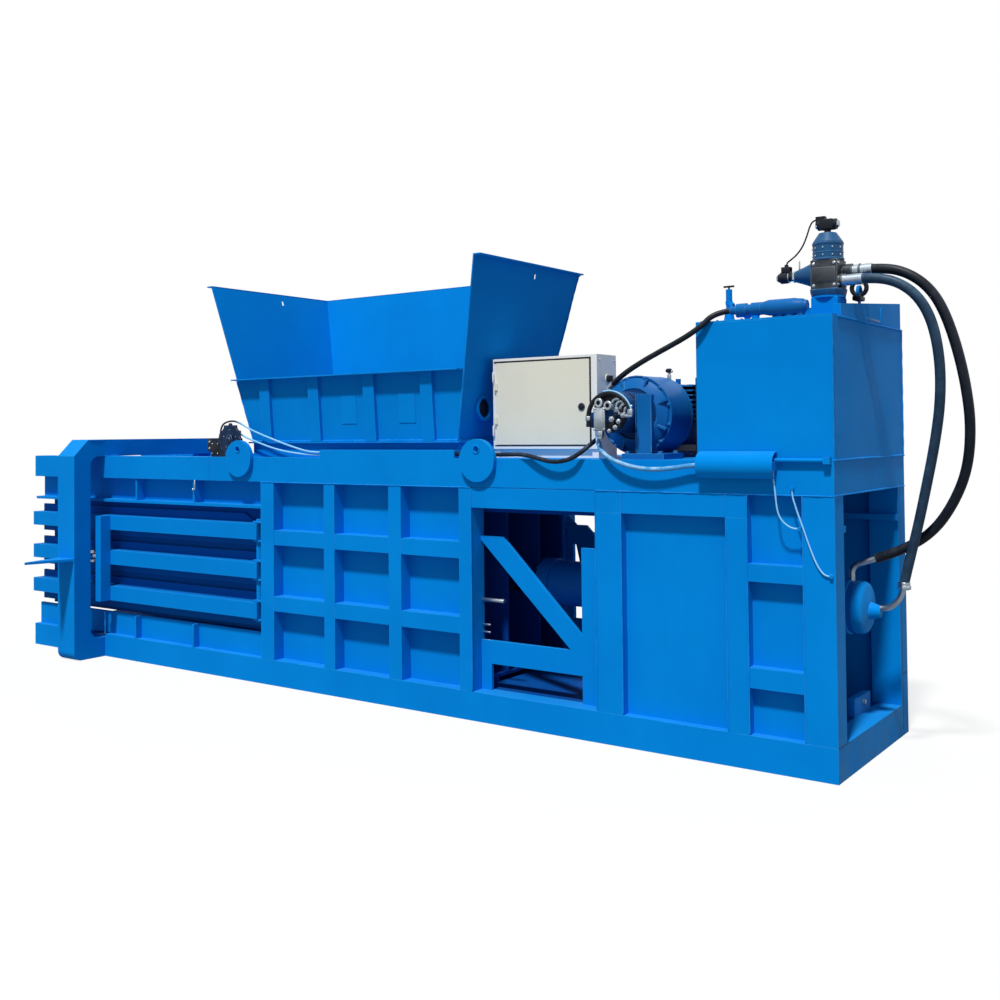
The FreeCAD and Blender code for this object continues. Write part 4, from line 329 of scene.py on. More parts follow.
@dataclass(frozen=True)
class Sheath:
    """Rubber or plastic round a hose or cable, scuffed and dusty on top."""

    colour: Colour
    dust: Colour
    amount: float
    roughness: float
    oily_to: Optional[float] = None
    oil: Colour = (0.012, 0.02, 0.035)
    gloss: float = 0.18

    def apply(self, mix: Recipe) -> None:
        """Mixes the finish.

        Args:
            mix: The empty recipe that it goes into.
        """
        cloud = mix.noise(16.0, 5.0, roughness=0.65).ramp(0.42, 0.72)
        upwards = mix.facing(Z).ramp(-0.3, 0.9)
        base = mix.mix(cloud * upwards * self.amount + cloud * 0.1, self.colour, self.dust)
        if self.oily_to is not None:
            oily = mix.along(X).ramp(self.oily_to + 0.06, self.oily_to - 0.02)
            base = mix.mix(oily, base, self.oil)
        mix.surface({"Base Color": base, "Specular IOR Level": self.gloss,
                     "Roughness": cloud * 0.15 + self.roughness,
                     "Normal": mix.bump(mix.noise(420.0, 2.0), 0.0002)})


FINISHES = {
    "frame_blue": Enamel(dust=0.5),
    "hopper_blue": Enamel((0.001, 0.23, 0.7), (0.001, 0.18, 0.57), dust=0.1),
    # The doors get painted shade deep in the channels between their slats.
    "door_blue": Enamel(dust=0.3, inner_shade=0.75),
    # The floor's colour is darkened to paint the shade that falls on it.
    "floor_steel": Enamel((0.001, 0.07, 0.32), (0.001, 0.035, 0.19), (0.08, 0.35, 0.6), 0.15, 0.5),
    "ram_steel": Enamel((0.001, 0.055, 0.34), (0.001, 0.035, 0.24), (0.01, 0.16, 0.5), 0.2, 0.5),
    "blade_steel": Machined((0.42, 0.43, 0.45), (0.22, 0.23, 0.26), 0.35),
    "cylinder_blue": Enamel((0.002, 0.16, 0.6), (0.001, 0.1, 0.46), dust=0.1, roughness=0.32,
                            waves=0.0, gloss=0.08),
    "rod_chrome": Machined((0.78, 0.8, 0.82), (0.62, 0.64, 0.67), 0.1, (8.0, 1.0, 1.0), 0.00002),
    "cabinet_grey": Coat((0.84, 0.86, 0.84), (0.72, 0.75, 0.76), 0.34, edge=(0.9, 0.9, 0.88),
                         gloss=0.9),
    "cabinet_beige": Coat((0.78, 0.77, 0.64), (0.72, 0.71, 0.59), edge=(0.9, 0.9, 0.85)),
    "dark_plastic": Coat((0.01, 0.012, 0.018), (0.022, 0.026, 0.036), 0.42),
    "motor_blue": Enamel((0.004, 0.15, 0.46), (0.002, 0.08, 0.3), (0.16, 0.5, 0.8), 0.3, 0.34,
                         0.0, 0.12),
    "pump_grey": Coat((0.004, 0.055, 0.2), (0.003, 0.03, 0.12), 0.5, 300.0, 0.0006),
    "shaft_steel": Machined((0.02, 0.05, 0.12), (0.008, 0.02, 0.06), 0.4),
    "cooler_grey": Coat((0.012, 0.022, 0.045), (0.006, 0.012, 0.026)),
    "tank_blue": Enamel(),
    "valve_steel": Machined((0.075, 0.085, 0.1), (0.02, 0.024, 0.032), 0.4, (9.0, 9.0, 1.0)),
    "valve_paint": Enamel((0.006, 0.085, 0.22), (0.004, 0.04, 0.12), (0.15, 0.42, 0.65), 0.3,
                          waves=0.0, gloss=0.3),
    "fitting_steel": Machined((0.5, 0.57, 0.63), (0.24, 0.3, 0.36), 0.26),
    "hose_rubber": Sheath((0.007, 0.01, 0.017), (0.05, 0.07, 0.1), 0.5, 0.4),
    "cable_white": Sheath((0.06, 0.3, 0.62), (0.62, 0.8, 0.92), 0.9, 0.35),
    "cable_dark": Sheath((0.006, 0.01, 0.022), (0.1, 0.18, 0.32), 0.4, 0.42),
    "wire_pale": Sheath((0.24, 0.58, 0.9), (0.45, 0.75, 0.95), 0.6, 0.4, oily_to=-0.86),
    "hose_blue": Sheath((0.018, 0.045, 0.085), (0.1, 0.22, 0.34), 0.7, 0.38),
}


# ---- mesh work


def placed(name: str, data: bpy.types.ID) -> bpy.types.Object:
    """Puts a new object in the scene.

    Args:
        name: Its name.
        data: Its mesh, curve, lamp or camera.

    Returns:
        The object.
    """
    item = bpy.data.objects.new(name, data)
    bpy.context.scene.collection.objects.link(item)
    return item


def edges_of(corners: Iterable[bmesh.types.BMVert]) -> List[bmesh.types.BMEdge]:
    """The edges that meet in those corners, each once."""
    return list(dict.fromkeys(edge for vert in corners for edge in vert.link_edges))


def spoke(degrees: float) -> Vector:
    """The direction at that angle round Y, from straight up."""
    return Vector((math.sin(math.radians(degrees)), 0.0, math.cos(math.radians(degrees))))


@dataclass
class Workpiece:
    """A mesh in the making, in its place, with its slot, its body and any other finish."""

    name: str
    slot: str = ""
    body: str = "frame"
    finish: Optional[str] = None

    def __post_init__(self) -> None:
        """Starts an empty mesh."""
        self.mesh = bmesh.new()

    def _bevel(self, edges: List[bmesh.types.BMEdge], size: float) -> None:
        """Rounds those edges."""
        bmesh.ops.bevel(self.mesh, geom=edges, offset=size, segments=2, profile=0.5,
                        affect="EDGES", material=-1, clamp_overlap=True)

    def _settle(self, corners: Corners, turn: Matrix, place: Point) -> None:
        """Turns those corners about the origin and moves them."""
        bmesh.ops.rotate(self.mesh, verts=corners, cent=(0, 0, 0), matrix=turn)
        bmesh.ops.translate(self.mesh, verts=corners, vec=place)

    def _ring(self, radius: float, sides: int) -> Corners:
        """Adds an open circle about the origin."""
        return bmesh.ops.create_circle(self.mesh, cap_ends=False, radius=radius,
                                       segments=sides)["verts"]

    def _spin(self, section: Corners, lines: List[bmesh.types.BMEdge], pivot: Point, axis: Axis,
              degrees: float, steps: int) -> Sequence[bmesh.types.BMVert]:
        """Spins a section round an axis and merges the new doubles.

        Args:
            section: The section's corners.
            lines: Its edges.
            pivot: A point on the axis.
            axis: The direction of the axis.
            degrees: How far it goes round, and which way; 360 closes it.
            steps: The number of steps.

        Returns:
            The corners that were there before the section.
        """
        before = set(self.mesh.verts) - set(section)
        bmesh.ops.spin(self.mesh, geom=section + lines, cent=pivot, axis=axis.value,
                       dvec=(0, 0, 0), angle=math.radians(degrees), steps=steps,
                       use_merge=degrees == 360.0, use_duplicate=False, use_normal_flip=False)
        new = [vert for vert in self.mesh.verts if vert not in before]
        bmesh.ops.remove_doubles(self.mesh, verts=new, dist=MERGE)
        return before

    def slab(self, size: Point, turn: Matrix, middle: Point) -> Corners:
        """Adds a box with sharp edges.

        Args:
            size: Its size in each direction.
            turn: How it is turned about its middle.
            middle: Where its middle goes.

        Returns:
            Its corners.
        """
        made = bmesh.ops.create_cube(self.mesh, size=1.0)["verts"]
        bmesh.ops.scale(self.mesh, verts=made, vec=size)
        self._settle(made, turn, middle)
        return made

    def block(self, low: Point, high: Point, chamfer: float = 0.0) -> None:
        """Adds a box between two corners.

        Args:
            low: Its lowest corner.
            high: Its highest corner.
            chamfer: The rounding of its edges.
        """
        size, middle = Vector(high) - Vector(low), (Vector(low) + Vector(high)) / 2
        made = self.slab(size, Matrix.Identity(3), middle)
        if chamfer:
            self._bevel(edges_of(made), chamfer)

    def rod(self, axis: Axis, start: Point, length: float, radius: float, sides: int,
            chamfer: float = 0.0, tip: Optional[float] = None, turn: float = 0.0) -> None:
        """Adds a round bar or cone.

        Args:
            axis: The direction that it runs in.
            start: The middle of its first end.
            length: How far it runs, which may be negative.
            radius: The radius at its first end.
            sides: The number of flat sides, such as 6 for a nut.
            chamfer: The rounding of its rims.
            tip: The radius at its far end, if not the same.
            turn: How far it is turned on its axis, in degrees.
        """
        far = radius if tip is None else tip
        made = bmesh.ops.create_cone(self.mesh, cap_ends=True, cap_tris=False, segments=sides,
                                     radius1=radius, radius2=far, depth=abs(length))["verts"]
        spin = (axis.value * math.copysign(1.0, length)).to_track_quat("Z", "Y").to_matrix()
        self._settle(made, spin @ Matrix.Rotation(math.radians(turn), 3, "Z"),
                     Vector(start) + axis.value * length / 2)
        if chamfer:
            self._bevel([edge for edge in edges_of(made)
                         if any(len(face.verts) > 4 for face in edge.link_faces)], chamfer)

    def turned(self, axis: Axis, origin: Point, profile: Sequence[Pair], steps: int) -> None:
        """Adds a turned shape.

        Args:
            axis: Its axis.
            origin: A point on the axis that the profile is measured from.
            profile: Pairs of distance along the axis and radius, from one end to the other.
            steps: The number of sides.
        """
        made = [self.mesh.verts.new(Vector(origin) + axis.value * along + axis.across() * radius)
                for along, radius in profile]
        lines = [self.mesh.edges.new(pair) for pair in zip(made, made[1:])]
        self._spin(made, lines, origin, axis, 360.0, steps)

    def band(self, axis: Axis, origin: Point, inner: float, outer: float, width: float,
             chamfer: float, steps: int) -> None:
        """Adds a flat ring round an axis, with broken edges.

        Args:
            axis: Its axis.
            origin: The middle of its first face.
            inner: The radius of its bore.
            outer: Its outer radius.
            width: How far it reaches along the axis, which may be negative.
            chamfer: The width of the broken edges.
            steps: The number of sides.
        """
        cut, rim = math.copysign(chamfer, width), outer - chamfer
        self.turned(axis, origin, ((0.0, inner), (0.0, rim), (cut, outer), (width - cut, outer),
                                   (width, rim), (width, inner), (0.0, inner)), steps)

    def bend(self, start: Point, heading: Point, pivot: Point, axis: Axis, degrees: float,
             radius: float, steps: int, sides: int) -> None:
        """Adds a round bar or pipe that is bent round an axis.

        Args:
            start: The middle of its first end.
            heading: The direction in which it leaves that end.
            pivot: A point on the axis that it is bent round.
            axis: The direction of that axis.
            degrees: How far it goes round, and which way.
            radius: The bar's radius.
            steps: The number of sections.
            sides: The number of sides of a section.
        """
        ring = self._ring(radius, sides)
        self._settle(ring, Vector(heading).to_track_quat("Z", "Y").to_matrix(), start)
        before = self._spin(ring, edges_of(ring), pivot, axis, degrees, steps)
        bmesh.ops.holes_fill(self.mesh, sides=0, edges=[
            edge for edge in self.mesh.edges if edge.is_boundary and edge.verts[0] not in before])

    def hoop(self, axis: Axis, centre: Point, reach: float, radius: float) -> None:
        """Adds a closed round bar ring of that reach about a centre."""
        across = axis.across()
        self.bend(Vector(centre) + across * reach, axis.value.cross(across), centre, axis, 360.0,
                  radius, 40, 12)

    def bolt(self, axis: Axis, seat: Point, size: float, out: float = 1.0,
             turn: float = 0.0) -> None:
        """Adds a hexagon bolt head on a washer.

        Args:
            axis: The bolt's axis.
            seat: The point that the washer sits on.
            size: The thread's diameter.
            out: 1 or -1, the way that the head stands out along the axis.
            turn: How far the head is turned, in degrees.
        """
        self.rod(axis, seat, WASHER_HEIGHT * size * out, WASHER_RADIUS * size, 20)
        self.rod(axis, Vector(seat) + axis.value * WASHER_HEIGHT * size * out,
                 HEAD_HEIGHT * size * out, HEAD_RADIUS * size, 6, HEAD_EDGE * size, turn=turn)

    def bolt_ring(self, axis: Axis, centre: Point, reach: float, count: int, size: float,
                  out: float = 1.0, first: float = 0.0) -> None:
        """Adds bolts on a circle about an axis.

        Args:
            axis: The axis that the circle is square to.
            centre: The middle of the circle, on the face that the bolts sit on.
            reach: The circle's radius.
            count: The number of bolts.
            size: The threads' diameter.
            out: 1 or -1, the way that the heads stand out.
            first: The angle of the first bolt in degrees.
        """
        for index in range(count):
            turn = Matrix.Rotation(math.radians(first + 360.0 * index / count), 3, axis.value)
            self.bolt(axis, Vector(centre) + turn @ (axis.across() * reach), size, out,
                      index * 25.0)

    def bead(self, start: Point, end: Point, radius: float) -> None:
        """Adds a weld bead: a slim rod with the swellings of its passes.

        Args:
            start: The middle of its first end.
            end: The middle of its far end.
            radius: Its mean radius.
        """
        run = Vector(end) - Vector(start)
        count = min(BEAD_PASSES, max(2, int(run.length / BEAD_PASS)))
        ring = self._ring(radius, 6)
        edges = edges_of(ring)
        rims, made = list(edges), list(ring)
        for _ in range(count):
            grown = bmesh.ops.extrude_edge_only(self.mesh, edges=edges)["geom"]
            ring = [item for item in grown if isinstance(item, bmesh.types.BMVert)]
            edges = [item for item in grown if isinstance(item, bmesh.types.BMEdge)
                     and all(vert in ring for vert in item.verts)]
            bmesh.ops.translate(self.mesh, verts=ring, vec=(0.0, 0.0, run.length / count))
            made += ring
        for vert in made:
            vert.co.xy *= 1.0 + sum(share * math.sin(vert.co.z * pitch)
                                    for share, pitch in BEAD_WAVES)
        bmesh.ops.holes_fill(self.mesh, edges=rims + edges, sides=0)
        self._settle(made, run.to_track_quat("Z", "Y").to_matrix(), start)

    def mirrored(self) -> None:
        """Adds the same shapes on the far side of the machine."""
        bmesh.ops.mirror(self.mesh, geom=[*self.mesh.verts, *self.mesh.edges, *self.mesh.faces],
                         matrix=Matrix.Identity(4), merge_dist=-1.0, axis="Y")

    def finished(self) -> bpy.types.Object:
        """Closes the mesh.

        Returns:
            The mesh's object, with its faces pointing outwards.
        """
        bmesh.ops.recalc_face_normals(self.mesh, faces=self.mesh.faces)
        data = bpy.data.meshes.new(self.name)
        self.mesh.to_mesh(data)
        self.mesh.free()
        for face in data.polygons:
            face.use_smooth = True
        data.set_sharp_from_angle(angle=math.radians(SMOOTH))
        return placed(self.name, data)


class Paintshop:
    """Makes each finish once and gives it to the pieces."""

    def __init__(self) -> None:
        """Makes every material."""
        self.started: List[Workpiece] = []
        self.materials: Dict[str, bpy.types.Material] = {}
        for slot, finish in FINISHES.items():
            self.materials[slot] = bpy.data.materials.new(slot.title().replace("_", ""))
            finish.apply(Recipe(self.materials[slot]))

    def dress_frame(self) -> None:
        """Gives every solid of the frame the finish of its slot."""
        for part in frame["record"]["subparts"]:
            solid = frame["nodes"][part["node"]]
            solid.data.materials.clear()
            solid.data.materials.append(self.materials[part["material_slot"]])
            log.info("dressed %s as %s", part["node"], part["material_slot"])

    def deliver(self, piece: bpy.types.Object, slot: str, body: str = "frame",
                finish: Optional[str] = None) -> None:
        """Puts a new piece on its body, with its finish.

        Args:
            piece: The object, finished and in place.
            slot: The record's material slot.
            body: The body that it moves with.
            finish: The finish, if it isn't the slot's own.
        """
        piece.data.materials.append(self.materials[finish or slot])
        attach(piece, body)
        log.info("added %s on %s", piece.name, body)

    def deliver_started(self) -> None:
        """Finishes and delivers the pieces that were started, in order."""
        for work in self.started:
            self.deliver(work.finished(), work.slot, work.body, work.finish)
        self.started.clear()


# ---- hoses and cables


@dataclass(frozen=True)
class Cord:
    """A hose, cable or wire on its route, in place of its solid."""

    name: str
    node: str
    slot: str
    diameter: float
    length: float
    route: Sequence[Point]
    stiffness: Stiffness = Stiffness.STIFF
    finish: Optional[str] = None

    def build(self, shop: Paintshop) -> None:
        """Draws the round curve through the route.

        Args:
            shop: The paintshop that dresses it.
        """
        data = bpy.data.curves.new(self.name, "CURVE")
        data.dimensions = "3D"
        data.bevel_depth = self.diameter / 2
        data.bevel_resolution = 5
        data.resolution_u = 10
        data.use_fill_caps = True
        line = data.splines.new("NURBS")
        line.points.add(len(self.route) - 1)
        for spot, place in zip(line.points, self.route):
            spot.co = (*place, 1.0)
        line.order_u = 3
        line.use_endpoint_u = True
        piece = placed(self.name, data)
        shop.deliver(piece, self.slot, finish=self.finish)
        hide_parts(self.node)


CORDS = (
    Cord("HoseUpper", "hose_upper", "hose_rubber", 0.048, 1.878, (
        (3.225, -0.222, 2.372), (3.32, -0.222, 2.372), (3.423, -0.217, 2.338),
        (3.51, -0.206, 2.268), (3.57, -0.191, 2.165), (3.618, -0.165, 2.0), (3.65, -0.135, 1.815),
        (3.662, -0.1, 1.623), (3.632, -0.045, 1.423), (3.558, 0.004, 1.26), (3.455, 0.038, 1.116),
        (3.322, 0.032, 1.022), (3.1793, 0.0144, 0.9687))),
    Cord("HoseLower", "hose_lower", "hose_rubber", 0.048, 1.724, (
        (3.21, -0.275, 2.322), (3.29, -0.275, 2.322), (3.385, -0.271, 2.295),
        (3.462, -0.262, 2.238), (3.515, -0.246, 2.152), (3.545, -0.228, 2.04),
        (3.556, -0.2, 1.89), (3.541, -0.16, 1.715), (3.502, -0.118, 1.53), (3.449, -0.076, 1.327),
        (3.4, -0.046, 1.14), (3.354, -0.022, 0.985), (3.3194, -0.0079, 0.857)),
        finish="hose_blue"),
    Cord("PumpHose", "pump_hose", "hose_rubber", 0.028, 0.806, (
        (1.996, -0.502, 1.8566), (2.0659, -0.53, 1.9), (2.205, -0.566, 1.962),
        (2.33, -0.58, 2.014), (2.436, -0.584, 2.06), (2.497, -0.58, 2.094),
        (2.54, -0.568, 2.126), (2.572, -0.553, 2.162), (2.608, -0.527, 2.181),
        (2.65, -0.51, 2.19), (2.695, -0.51, 2.19))),
    Cord("MotorCable", "motor_cable", "cable_white", 0.024, 0.743, (
        (1.912, -0.528, 1.629), (1.912, -0.528, 1.592), (1.936, -0.554, 1.533),
        (1.985, -0.578, 1.487), (2.076, -0.594, 1.448), (2.191, -0.597, 1.421),
        (2.3, -0.595, 1.417), (2.4, -0.59, 1.428), (2.47, -0.586, 1.44),
        (2.54, -0.586, 1.44)), Stiffness.MEDIUM),
    Cord("CabinetCables", "cabinet_cables", "cable_dark", 0.024, 1.067, (
        (0.98, -0.528, 1.49), (1.07, -0.528, 1.49), (1.2, -0.525, 1.488), (1.33, -0.53, 1.487),
        (1.45, -0.552, 1.491), (1.56, -0.586, 1.474), (1.68, -0.596, 1.448),
        (1.785, -0.593, 1.464), (1.845, -0.572, 1.506), (1.878, -0.528, 1.548),
        (1.895, -0.486, 1.576), (1.895, -0.47, 1.604), (1.895, -0.47, 1.629)), Stiffness.MEDIUM),
    Cord("CounterCableOuter", "counter_cables", "wire_pale", 0.012, 1.068, (
        (-1.045, -0.515, 1.59), (-1.045, -0.515, 1.64), (-1.008, -0.521, 1.692),
        (-0.905, -0.524, 1.708), (-0.82, -0.527, 1.684), (-0.736, -0.529, 1.646),
        (-0.6, -0.53, 1.604), (-0.451, -0.531, 1.561), (-0.33, -0.532, 1.53),
        (-0.215, -0.533, 1.504), (-0.14, -0.534, 1.497), (-0.08, -0.534, 1.497)),
        Stiffness.MEDIUM),
    Cord("CounterCableInner", "counter_cables", "wire_pale", 0.012, 0.972, (
        (-1.0, -0.5, 1.59), (-1.0, -0.5, 1.612), (-0.978, -0.502, 1.636), (-0.925, -0.506, 1.645),
        (-0.86, -0.511, 1.622), (-0.79, -0.516, 1.594), (-0.69, -0.52, 1.566),
        (-0.56, -0.522, 1.53), (-0.43, -0.523, 1.504), (-0.3, -0.524, 1.489),
        (-0.19, -0.525, 1.481), (-0.13, -0.525, 1.48), (-0.08, -0.525, 1.48)), Stiffness.MEDIUM),
    Cord("GuardWireUpper", "guard_wires", "wire_pale", 0.008, 0.3215, (
        (2.888, -0.57, 1.418), (2.888, -0.57, 1.385), (2.896, -0.572, 1.33),
        (2.902, -0.574, 1.27), (2.909, -0.574, 1.222), (2.927, -0.572, 1.186),
        (2.953, -0.565, 1.162), (2.976, -0.557, 1.15), (2.998, -0.557, 1.15)), Stiffness.LIMP),
    Cord("GuardWireLower", "guard_wires", "wire_pale", 0.008, 0.44, (
        (2.974, -0.557, 1.328), (2.974, -0.557, 1.3), (2.985, -0.557, 1.265),
        (3.001, -0.557, 1.215), (3.02, -0.557, 1.165), (3.04, -0.557, 1.105),
        (3.06, -0.557, 1.05), (3.08, -0.557, 1.0), (3.104, -0.557, 0.96), (3.128, -0.557, 0.94),
        (3.145, -0.557, 0.94)), Stiffness.LIMP),
    Cord("PilotWire", "pilot_wire", "cable_dark", 0.008, 0.282, (
        (3.001, -0.25, 2.63), (2.985, -0.25, 2.63), (2.968, -0.252, 2.606),
        (2.954, -0.254, 2.56), (2.932, -0.255, 2.508), (2.9, -0.253, 2.47),
        (2.868, -0.251, 2.448), (2.845, -0.25, 2.434), (2.845, -0.25, 2.414)), Stiffness.LIMP),
)


# ---- sub-assemblies


@dataclass
class Assembly:
    """Fittings that are built together."""

    shop: Paintshop

    def start(self, name: str, slot: str, body: str = "frame",
              finish: Optional[str] = None) -> Workpiece:
        """Starts a piece, with a Workpiece's fields, that the paintshop delivers."""
        self.shop.started.append(Workpiece(name, slot, body, finish))
        return self.shop.started[-1]


@dataclass
class PumpEnd(Assembly):
    """The end plate, ports, unions and drain pipe on the near end of the pump."""

    x: float = 2.02
    z: float = 1.71
    face: float = -0.56
    ports: Sequence[Pair] = ((1.968, 1.757), (2.022, 1.742))
    plugs: Sequence[Pair] = ((2.056, 1.69), (2.088, 1.716), (2.038, 1.648), (2.078, 1.638))
    nuts: Sequence[Point] = ((2.035, 1.672, 0.017), (2.075, 1.66, 0.014), (2.1, 1.69, 0.013),
                             (2.055, 1.63, 0.014), (2.02, 1.612, 0.012))
    drain: Point = (0.124, -0.588, 1.682)

    def build(self) -> None:
        """Makes the plate with its ports, the unions beside it and the drain pipe."""
        self._plate()
        self._unions()
        self._drain()

    def _plate(self) -> None:
        """The cast end plate with two ports, its bolts and the plug under it."""
        work = self.start("PumpEndPlate", "fitting_steel")
        work.block((1.932, -0.6, 1.612), (2.0, -0.57, 1.735), 0.008)
        work.block((1.94, -0.606, 1.628), (1.992, -0.598, 1.718), 0.004)
        for z, x in product((1.62, 1.727), (1.9385, 1.9935)):
            work.bolt(Y, (x, -0.599, z), 0.006, -1.0)
        for x, z in self.ports:
            work.band(Y, (x, -0.57, z), 0.012, 0.024, -0.04, 0.003, 32)
        work.rod(Z, (1.966, -0.588, 1.612), -0.03, 0.02, 6, 0.003)
        work.rod(Z, (1.966, -0.588, 1.583), -0.012, 0.013, 20, 0.002)
        # Painted shade: the small dark rods fill the two port bores. The large dark disc is the
        # pump's dark front.
        dark = self.start("PumpBoreShadeAndFront", "dark_plastic")
        for x, z in self.ports:
            dark.rod(Y, (x, -0.575, z), -0.022, 0.0125, 24, 0.002)
        dark.rod(Y, (self.x - 0.006, self.face - 0.002, self.z), -0.01, 0.098, 40, 0.003)

    def _unions(self) -> None:
        """The bent pipes and union nuts that fan out to the right of the plate."""
        work = self.start("PumpUnions", "fitting_steel")
        for index in range(4):
            x, y, top = 2.03 + 0.024 * index, -0.574, self.z + 0.076 - 0.013 * index
            work.bend((x, y, top - 0.04), UP, (x + 0.03, y, top - 0.04), Y, 118.0, 0.009, 14, 14)
            work.rod(Z, (x, y, top - 0.066), 0.026, 0.0135, 6, 0.002, turn=11.0 * index)
        for x, z, size in self.nuts:
            work.rod(Y, (x, -0.572, z), -0.022, size, 6, 0.003, turn=x * 900.0)
            work.rod(Y, (x, -0.59, z), -0.012, size * 0.6, 20, 0.002)
        dark = self.start("PumpPlugs", "dark_plastic")
        for x, z in self.plugs:
            dark.rod(Y, (x, -0.57, z), -0.024, 0.01, 20, 0.002)

    def _drain(self) -> None:
        """The drain pipe that arches over the pump, a pale stripe painted as its highlight, and
        the unions that it ends in.
        """
        x, (reach, y, z) = self.x, self.drain
        work = self.start("PumpDrainPipe", "dark_plastic")
        work.bend((x - reach, y, z), UP, (x, y, z), Y, 180.0, 0.012, 36, 16)
        work.rod(Z, (x - reach, y, z + 0.002), -0.05, 0.012, 16)
        # Painted highlight: a pale stripe along the top of the dark pipe.
        sheen = self.start("PumpDrainHighlight", "wire_pale")
        sheen.bend((x - 0.03, y - 0.004, z + reach + 0.0085), (1, 0, 0), (x, y - 0.004, z), Y,
                   88.0, 0.0045, 24, 10)
        ends = self.start("PumpDrainUnions", "fitting_steel")
        ends.rod(Z, (x + reach, y, 1.722), -0.03, 0.017, 6, 0.003)
        ends.rod(Z, (x + reach, y, 1.694), -0.012, 0.013, 20, 0.002)
        ends.rod(X, (x + reach, y, 1.688), -0.034, 0.01, 20, 0.002)
        ends.rod(Z, (x - reach, y, 1.69), -0.024, 0.016, 6, 0.003)


@dataclass
class BellRim(Assembly):
    """The shoulder, webs, rim and bolts of the bell housing, and its bracket's edges."""

    x: float = 2.02
    near: float = -0.3
    z: float = 1.695
    radius: float = 0.211
    web: Point = (0.012, 0.034, 0.07)

    def build(self) -> None:
        """Makes the cast shoulder with its webs, the rim and the bolts."""
        x, near, z = self.x, self.near, self.z
        work = self.start("BellShoulder", "motor_blue")
        work.turned(Y, (x, near, z + 0.004), (
            (0.0, 0.128), (-0.03, 0.132), (-0.034, 0.14), (-0.02, 0.172), (-0.008, 0.19),
            (0.0, 0.192), (0.0, 0.128)), 64)
        for index in range(8):
            turn = 22.5 + 45.0 * index
            work.slab(self.web, Matrix.Rotation(math.radians(turn), 3, "Y"),
                      Vector((x, near - 0.012, z)) + spoke(turn) * 0.166)
        work.band(Y, (x, -0.066, z), 0.205, 0.2125, 0.016, 0.002, 64)
        rim = self.start("BellRimEdge", "motor_blue")
        rim.hoop(Y, (x, near + 0.001, z), self.radius - 0.003, 0.0045)
        for edge in (2.128, 2.216):
            rim.bead((edge, -0.5035, 1.5), (edge, -0.5035, 1.795), 0.0025)
        bolts = self.start("BellBolts", "motor_blue")
        bolts.bolt_ring(Y, (x, near - 0.001, z), 0.2, 12, 0.01, -1.0, 15.0)
        for foot in ((2.075, -0.5, 1.495), (2.265, -0.5, 1.495), (2.265, -0.33, 1.495)):
            bolts.bolt(Z, foot, 0.014)


@dataclass
class MotorCover(Assembly):
    """The fan cowl and the breather of the motor."""

    x: float = 2.02
    far: float = 0.4
    z: float = 1.695
    hoops: Sequence[float] = (0.035, 0.065, 0.095, 0.125, 0.15)

    def build(self) -> None:
        """Makes the cowl with its grille, and the breather on top."""
        work = self.start("MotorFanCowl", "motor_blue")
        work.turned(Y, (self.x, self.far, self.z), (
            (-0.058, 0.17), (-0.058, 0.184), (-0.006, 0.184), (0.004, 0.176), (0.006, 0.16),
            (0.003, 0.158), (-0.004, 0.158), (-0.004, 0.0)), 64)
        grille = Vector((self.x, self.far + 0.002, self.z))
        for reach in self.hoops:
            work.hoop(Y, grille, reach, 0.003)
        for index in range(6):
            out = spoke(60.0 * index)
            start = grille + out * 0.02
            work.bead(start, start + out * 0.135, 0.003)
        pale = self.start("BreatherStem", "fitting_steel")
        pale.rod(Z, (2.096, -0.06, 1.88), 0.036, 0.011, 6, 0.002)
        pale.rod(Z, (2.096, -0.06, 1.914), 0.014, 0.008, 20)
        pale.rod(X, (2.09, -0.06, 1.934), 0.026, 0.007, 20, 0.002)
        dark = self.start("BreatherCap", "dark_plastic")
        dark.turned(Z, (2.094, -0.06, 1.928), (
            (0.0, 0.0), (0.0, 0.012), (0.006, 0.018), (0.016, 0.018), (0.022, 0.012),
            (0.024, 0.0)), 24)


